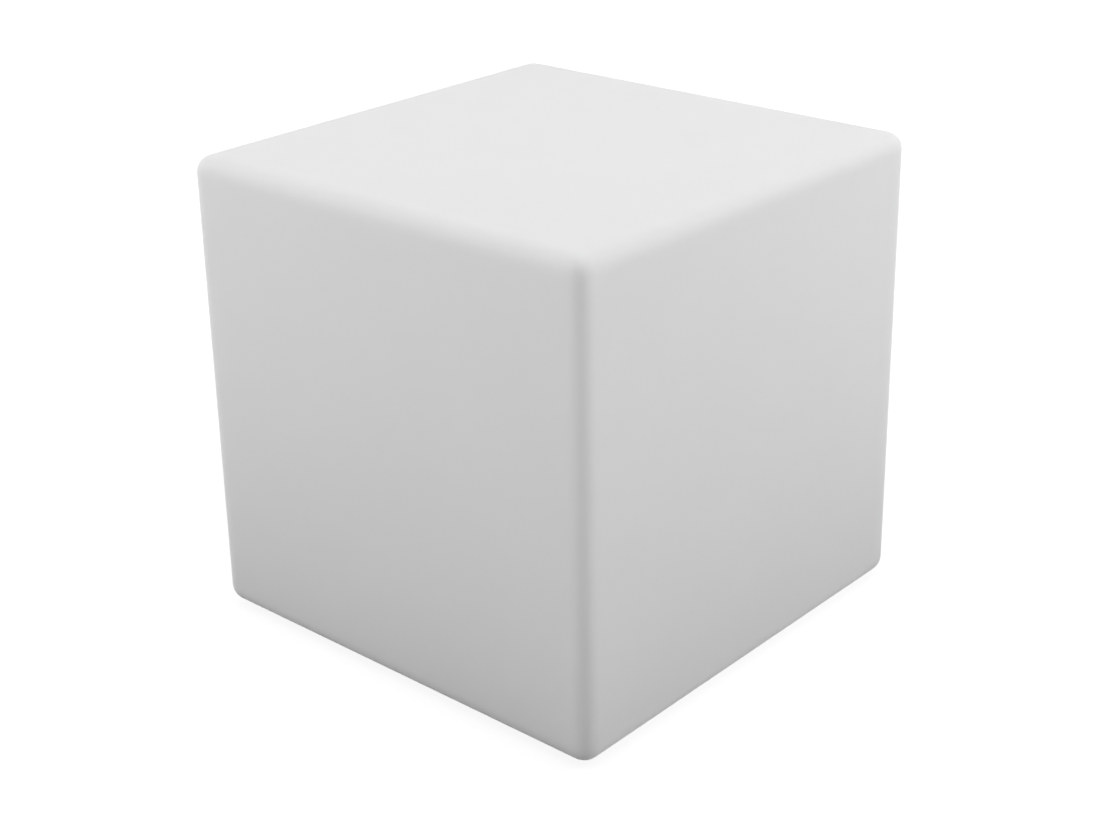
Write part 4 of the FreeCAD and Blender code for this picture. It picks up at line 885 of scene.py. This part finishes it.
ANCHOR_Y = -49.5
ANCHOR_RADIUS = 3.5
ANCHOR_BEVEL = 0.3
ANCHOR_TOP = 28.9
STEM_RADIUS = 1.6
BARB_LOW = 26.5
BARB_RADIUS = 2.4
BARB_EDGE = (2.2, 27.1)
BARB_TIP = 1.0

DISC_SIDES = 96
BUNG_SIDES = 48
CAP_VOXEL = 0.22
CAP_ROUNDS = 5


def rectangle(x, y, half_x, half_y):
    """The corners of a rectangle about a point."""
    return [(x + a * half_x, y + b * half_y) for a, b in ((-1, -1), (1, -1), (1, 1), (-1, 1))]


def slab(bm, outline, low, high):
    """An upright prism over a closed outline of (x, y) points."""
    floor = [bm.verts.new(mm((x, y, low))) for x, y in outline]
    roof = [bm.verts.new(mm((x, y, high))) for x, y in outline]
    band(bm, floor, roof)
    bm.faces.new(floor)
    bm.faces.new(roof)


def grown_together(bm, voxel, rounds):
    """One skin round overlapping solids, its edges softened as moulded rubber's are."""
    lump = bpy.data.objects.new("lump", mesh_from(bm, "lump"))
    bpy.context.scene.collection.objects.link(lump)
    remesh = lump.modifiers.new("skin", "REMESH")
    remesh.mode = "VOXEL"
    remesh.voxel_size = mm(voxel)
    soften = lump.modifiers.new("soften", "SMOOTH")
    soften.factor = 0.5
    soften.iterations = rounds
    graph = bpy.context.evaluated_depsgraph_get()
    mesh = bpy.data.meshes.new_from_object(lump.evaluated_get(graph))
    bpy.data.objects.remove(lump)
    return mesh


def cap_disc(bm):
    """The cap's dished disc, and the beaded bung on it that goes into the socket."""
    disc = [(0, CAP_LOW + DISH_DEPTH), (DISH_FLOOR, CAP_LOW + DISH_DEPTH), (DISH_RADIUS, CAP_LOW)]
    disc += arc(CAP_RADIUS - CAP_ROUND, CAP_LOW + CAP_ROUND, CAP_ROUND, -90, 0, 5)
    disc += [(CAP_RADIUS, CAP_HIGH - CAP_BEVEL), (CAP_RADIUS - CAP_BEVEL, CAP_HIGH), (0, CAP_HIGH)]
    lathe(bm, disc, SOCKET_SPOT, DISC_SIDES)
    root = CAP_HIGH - BUNG_ROOT
    bung = [(0, root), (BUNG_RADIUS, root), (BUNG_RADIUS, CAP_HIGH + BUNG_NECK)]
    bung += arc(BEAD_CENTRE, CAP_HIGH + BEAD_RISE, BEAD_RADIUS, -70, 70, 5)
    bung += [(NOSE_RADIUS + NOSE_BEVEL, BUNG_TOP - NOSE_BEVEL), (NOSE_RADIUS, BUNG_TOP), (0, BUNG_TOP)]
    lathe(bm, bung, SOCKET_SPOT, BUNG_SIDES)


def cap_tab(bm):
    """The round-ended tab that pulls the cap out, with ribs under it for a finger nail."""
    x, y = SOCKET_SPOT
    tab = [(x - STRAP_HALF, y), (x + STRAP_HALF, y)]
    tab += [(x + a, TAB_END - STRAP_HALF + b) for a, b in arc(0, 0, STRAP_HALF, 0, 180, 16)]
    slab(bm, tab, TAB_LOW, CAP_HIGH)
    for row, half in enumerate(RIB_HALVES):
        outline = rectangle(x, TAB_END - RIB_START - RIB_STEP * row, half, RIB_HALF_WIDTH)
        slab(bm, outline, TAB_LOW - RIB_DROP, TAB_LOW + RIB_ROOT)


def cap_strap(bm):
    """The waisted strap, the tongue that thickens it beside the cap, and the barbed anchor at its end."""
    x = SOCKET_SPOT[0]
    right = [(x + STRAP_HALF, ANCHOR_Y), (x + STRAP_WAIST, HINGE_Y - WAIST_REACH)]
    right += [(x + STRAP_WAIST, HINGE_Y + WAIST_REACH), (x + STRAP_HALF, HINGE_Y + WAIST_END)]
    left = [(2 * x - across, along) for across, along in reversed(right)]
    slab(bm, right + left, CAP_HIGH, STRAP_HIGH)
    slab(bm, rectangle(x, TONGUE_MIDDLE, STRAP_HALF, TONGUE_HALF), TONGUE_LOW, CAP_HIGH + TONGUE_LAP)
    anchor = [(0, CAP_HIGH), (ANCHOR_RADIUS - ANCHOR_BEVEL, CAP_HIGH)]
    anchor += [(ANCHOR_RADIUS, CAP_HIGH + ANCHOR_BEVEL), (ANCHOR_RADIUS, MODULE_LEVEL)]
    anchor += [(STEM_RADIUS, MODULE_LEVEL), (STEM_RADIUS, BARB_LOW), (BARB_RADIUS, BARB_LOW)]
    anchor += [BARB_EDGE, (BARB_TIP, ANCHOR_TOP), (0, ANCHOR_TOP)]
    lathe(bm, anchor, (x, ANCHOR_Y), BUNG_SIDES)


def build_port_cap():
    """The silicone cap: dished disc, beaded bung, ribbed pull tab, waisted strap and barbed anchor."""
    bm = bmesh.new()
    cap_disc(bm)
    cap_tab(bm)
    cap_strap(bm)
    mesh = grown_together(bm, CAP_VOXEL, CAP_ROUNDS)
    cap = make_object(
        "charge_cap", mesh, MATERIALS["cap"], body=None,
        replaced=("port_cap", "port_cap_anchor"), sharp=180,
    )
    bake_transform(cap)
    return cap


# ---------------------------------------------------------------- the push button's spring

BUTTON_SPOT = (-15.0, -35.0)
COIL_RADIUS = 5.0
WIRE_RADIUS = 0.35
SPRING_LOW = 26.6
SPRING_HIGH = 36.9
END_RISE = 0.8
OPEN_TURNS = 3
COIL_TURNS = OPEN_TURNS + 2
PITCH_EASE = (-0.12, -0.06, 0.0, 0.06, 0.12)
SLOPE_SPAN = 0.01
COIL_STEPS = 300
WIRE_SIDES = 12


def coil_height(turn):
    """How far the coil has climbed after so many turns, eased where its closed turns meet the open ones."""
    climb = SPRING_HIGH - SPRING_LOW - 2 * WIRE_RADIUS
    pitch = (climb - 2 * END_RISE) / OPEN_TURNS
    total = 0.0
    for shift in PITCH_EASE:
        place = min(max(turn + shift, 0.0), float(COIL_TURNS))
        opened = min(max(place - 1.0, 0.0), float(OPEN_TURNS))
        total += pitch * opened + END_RISE * (place - opened)
    return total / len(PITCH_EASE)


def build_spring():
    """The return spring."""
    bm = bmesh.new()
    sections = []
    for step in range(COIL_STEPS + 1):
        turn = COIL_TURNS * step / COIL_STEPS
        angle = 2 * math.pi * turn
        outward = Vector((math.cos(angle), math.sin(angle), 0))
        rise = coil_height(turn + SLOPE_SPAN) - coil_height(turn - SLOPE_SPAN)
        slope = rise / (2 * SLOPE_SPAN * 2 * math.pi * COIL_RADIUS)
        along = Vector((-math.sin(angle), math.cos(angle), slope)).normalized()
        upward = outward.cross(along)
        middle = Vector((*BUTTON_SPOT, SPRING_LOW + WIRE_RADIUS + coil_height(turn))) + outward * COIL_RADIUS
        section = []
        for side in range(WIRE_SIDES):
            around_wire = 2 * math.pi * side / WIRE_SIDES
            point = middle + WIRE_RADIUS * (math.cos(around_wire) * outward + math.sin(around_wire) * upward)
            section.append(bm.verts.new(mm(tuple(point))))
        sections.append(section)
    for low, high in zip(sections, sections[1:]):
        band(bm, low, high)
    bm.faces.new(sections[0])
    bm.faces.new(sections[-1])
    spring = make_object(
        "return_spring", mesh_from(bm, "return_spring"), MATERIALS["spring"],
        replaced=("button_spring",),
    )
    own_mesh(spring)
    return spring


# ---------------------------------------------------------------- lamps, floor and camera

LENS_MM = 62.65
SENSOR_MM = 36.0
CAMERA_TURN = 41.754
CAMERA_HEIGHT = 23.863
CAMERA_ROLL = -1.049
CAMERA_DISTANCE = 1581.3
CAMERA_TARGET = (-3.0, -5.2, 165.7)


def aim_camera():
    """The photograph's view: its direction, distance and lens were fitted to the cube's outline."""
    turn, lift, roll = (math.radians(angle) for angle in (CAMERA_TURN, CAMERA_HEIGHT, CAMERA_ROLL))
    back = Vector((math.sin(turn) * math.cos(lift), -math.cos(turn) * math.cos(lift), math.sin(lift)))
    right = Vector((0, 0, 1)).cross(back).normalized()
    up = back.cross(right)
    turned_right = math.cos(roll) * right + math.sin(roll) * up
    turned_up = math.cos(roll) * up - math.sin(roll) * right
    camera = bpy.data.objects.new("camera", bpy.data.cameras.new("camera"))
    camera.data.lens = LENS_MM
    camera.data.sensor_width = SENSOR_MM
    camera.data.clip_start = 0.05
    camera.data.clip_end = 60
    basis = Matrix((turned_right, turned_up, back)).transposed().to_4x4()
    camera.matrix_world = Matrix.Translation(mm(CAMERA_TARGET) + back * mm(CAMERA_DISTANCE)) @ basis
    bpy.context.scene.collection.objects.link(camera)
    bpy.context.scene.camera = camera


def softbox(name, place, target, size, watts):
    """A large soft lamp, aimed at a point."""
    lamp = bpy.data.lights.new(name, "AREA")
    lamp.shape = "RECTANGLE"
    lamp.size, lamp.size_y = size
    lamp.energy = watts
    box = bpy.data.objects.new(name, lamp)
    box.location = place
    box.rotation_euler = (Vector(place) - Vector(target)).to_track_quat("Z", "Y").to_euler()
    bpy.context.scene.collection.objects.link(box)
    return box


# Each lamp's place, aim and size in metres, and its watts.
LAMPS = {
    "top_box": ((0.0, 0.0, 2.2), (0, 0, 0.39), (2.5, 2.5), 22.5),
    "left_box": ((-1.4, -1.5, 1.2), (0, 0, 0.2), (1.0, 1.0), 10.8),
    "right_box": ((1.5, 1.4, 1.2), (0, 0, 0.2), (1.0, 1.0), 14.4),
}
WORLD_LEVEL = 0.33

# The floor, in metres. What the camera, gloss and clear parts see of it has values of its own.
FLOOR_HALF = 30.0
FLOOR_CELLS = 41
FLOOR_SHADE = (0.5, 0.5, 0.5)
FLOOR_SHADE_SEEN = (0.2, 0.2, 0.2)
# A painted shadow in the floor's colour: a dark strip along the foot of the -Y side, which darkens the light
# thrown back onto the cube's lower edge there. The camera, gloss and clear parts don't see it.
FOOT_PAINTED_SHADOW = (0.08, 0.08, 0.08)
FOOT_LINE = 0.2
FOOT_INNER = (0.165, 0.185)
FOOT_OUTER = (0.200, 0.224)
# For all but the seen rays the floor's glow is painted light: low beside the cube as a painted shadow, higher
# further out, and a painted glow under the cube that lights its base.
FLOOR_REACH = (0.4, 1.1)
FLOOR_GLOW = (0.05, 0.57)
FLOOR_GLOW_SEEN = (0.87, 1.0)
COVERED_REACH = (0.165, 0.185)
COVERED_GLOW = 0.3


def seen_rays(tree):
    """A factor of 1 on the rays that show the room: to the camera, in gloss and through clear parts."""
    rays = tree.nodes.new("ShaderNodeLightPath")
    seen = rays.outputs["Is Camera Ray"]
    for kind in ("Is Glossy Ray", "Is Transmission Ray"):
        either = tree.nodes.new("ShaderNodeMath")
        either.operation = "MAXIMUM"
        tree.links.new(seen, either.inputs[0])
        tree.links.new(rays.outputs[kind], either.inputs[1])
        seen = either.outputs[0]
    return seen


def light_scene():
    """Soft lamps above and on both sides, in a plain pale room."""
    for name, (place, target, size, watts) in LAMPS.items():
        softbox(name, place, target, size, watts)
    world = bpy.data.worlds.new("pale_room")
    bpy.context.scene.world = world
    world.use_nodes = True
    tree = world.node_tree
    background = tree.nodes["Background"]
    background.inputs["Color"].default_value = (1, 1, 1, 1)
    level = tree.nodes.new("ShaderNodeMapRange")
    level.inputs["To Min"].default_value = WORLD_LEVEL
    level.inputs["To Max"].default_value = 1.0
    tree.links.new(seen_rays(tree), level.inputs["Value"])
    tree.links.new(level.outputs["Result"], background.inputs["Strength"])


def floor_shade(shader, seen):
    """The floor's colour, with a painted shadow: a dark strip along the foot of the -Y side that only light
    thrown back onto the cube sees, darkening its lower edge; the camera, gloss and clear parts see the plain
    seen colour.
    """
    outward = shader.maths("MULTIPLY", shader.axis("Y"), -1.0)
    across = shader.maths("ADD", shader.maths("ABSOLUTE", shader.axis("X")), FOOT_LINE)
    reach = shader.maths("MAXIMUM", outward, shader.maths("SUBTRACT", across, outward))
    past = shader.spread(reach, 0.0, 1.0, *FOOT_OUTER)
    inside = shader.spread(outward, 1.0, 0.0, *FOOT_INNER)
    away = shader.maths("MAXIMUM", past, inside)
    return shader.mix(seen, shader.mix(away, FOOT_PAINTED_SHADOW, FLOOR_SHADE), FLOOR_SHADE_SEEN)


def floor_glow(shader, seen):
    """The floor's own light, which is painted light: more of it further out, little beside the cube as a
    painted shadow, and some under it that lights the cube's base.
    """
    reach = shader.add("ShaderNodeVectorMath", {"operation": "LENGTH"})
    shader.feed(reach.inputs[0], shader.place)
    outward = reach.outputs["Value"]
    sideways = [shader.maths("ABSOLUTE", shader.axis(letter)) for letter in "XY"]
    covered = shader.spread(shader.maths("MAXIMUM", *sideways), COVERED_GLOW, 0.0, *COVERED_REACH)
    given = shader.maths("MAXIMUM", covered, shader.spread(outward, *FLOOR_GLOW, *FLOOR_REACH))
    glow = shader.add("ShaderNodeMix")
    shader.feed(glow.inputs[0], seen)
    shader.feed(glow.inputs[2], given)
    shader.feed(glow.inputs[3], shader.spread(outward, *FLOOR_GLOW_SEEN, *FLOOR_REACH))
    return glow.outputs[0]


def lay_floor():
    """A pale floor that keeps the cube's shadow and is open from below."""
    bm = bmesh.new()
    bmesh.ops.create_grid(bm, x_segments=FLOOR_CELLS, y_segments=FLOOR_CELLS, size=FLOOR_HALF)
    mesh = bpy.data.meshes.new("floor")
    bm.to_mesh(mesh)
    bm.free()
    floor = bpy.data.objects.new("floor", mesh)
    bpy.context.scene.collection.objects.link(floor)
    shader = Shader("pale_floor")
    seen = seen_rays(shader.tree)
    shader.set(
        Base_Color=floor_shade(shader, seen),
        Roughness=0.9,
        Specular_IOR_Level=0.1,
        Emission_Color=(1, 1, 1, 1),
        Emission_Strength=floor_glow(shader, seen),
    )
    rays = shader.add("ShaderNodeLightPath")
    under = shader.add("ShaderNodeNewGeometry").outputs["Backfacing"]
    clear = shader.add("ShaderNodeBsdfTransparent")
    blend = shader.add("ShaderNodeMixShader")
    shader.feed(blend.inputs["Fac"], shader.maths("MULTIPLY", under, rays.outputs["Is Camera Ray"]))
    shader.feed(blend.inputs[1], shader.principled.outputs[0])
    shader.feed(blend.inputs[2], clear.outputs[0])
    output = next(n for n in shader.tree.nodes if n.type == "OUTPUT_MATERIAL")
    shader.feed(output.inputs["Surface"], blend.outputs[0])
    mesh.materials.append(shader.material)


# ---------------------------------------------------------------- the whole scene

DOME_SCREW_CIRCLE = 55.2
LED_SCREW_OFFSET = 30.4
CRADLE_Y = 5.0
CONTROL_SCREW_X = 37.0
CONTROL_SCREW_Y = 16.0
BRACKET_SCREW_REACH = 24.5

# The faces that the screws' heads sit on. All but the foot washers' are heights over the module's base.
FOOT_WASHER_LOW = 4.0
FLANGE_SEAT = 2.4
BRACKET_TOP = 13.6
CONTROL_BOARD_TOP = 27.6
LED_BOARD_TOP = 43.6
DOME_SEAT = 48.5

CONTROL_SCREW_SPOTS = [
    (x * CONTROL_SCREW_X, CRADLE_Y + y * CONTROL_SCREW_Y) for x in (-1, 1) for y in (-1, 1)
]
BRACKET_SCREW_SPOTS = [(0.0, CRADLE_Y - BRACKET_SCREW_REACH), (0.0, CRADLE_Y + BRACKET_SCREW_REACH)]

# Each group's thread, length, places, level and whether its heads face up.
SCREW_GROUPS = {
    "foot_screws": (M4, 12.0, corners(FOOT_OFFSET), FOOT_WASHER_LOW, False),
    "flange_screws": (M4, 10.0, around(SCREW_CIRCLE, FLANGE_SCREWS), MODULE_LEVEL + FLANGE_SEAT, False),
    "dome_screws": (M3, 10.0, around(DOME_SCREW_CIRCLE, 4), MODULE_LEVEL + DOME_SEAT, True),
    "led_board_screws": (M3, 8.0, corners(LED_SCREW_OFFSET), MODULE_LEVEL + LED_BOARD_TOP, True),
    "control_board_screws": (M3, 8.0, CONTROL_SCREW_SPOTS, MODULE_LEVEL + CONTROL_BOARD_TOP, True),
    "bracket_screws": (M3, 6.0, BRACKET_SCREW_SPOTS, MODULE_LEVEL + BRACKET_TOP, True),
}

build_shell()
for node, name in NODE_MATERIALS.items():
    paint_node(node, MATERIALS[name])
build_port_cap()
build_spring()
for y_side, row in ((-1, "front"), (1, "rear")):
    for x_side, column in ((-1, "left"), (1, "right")):
        build_foot(f"foot_{row}_{column}", (x_side * FOOT_OFFSET, y_side * FOOT_OFFSET))
for node, (thread, length, spots, level, head_up) in SCREW_GROUPS.items():
    screw_group(node, screw_mesh(length, **thread), spots, level, head_up)

aim_camera()
light_scene()
lay_floor()
bpy.context.scene.view_settings.view_transform = "Standard"
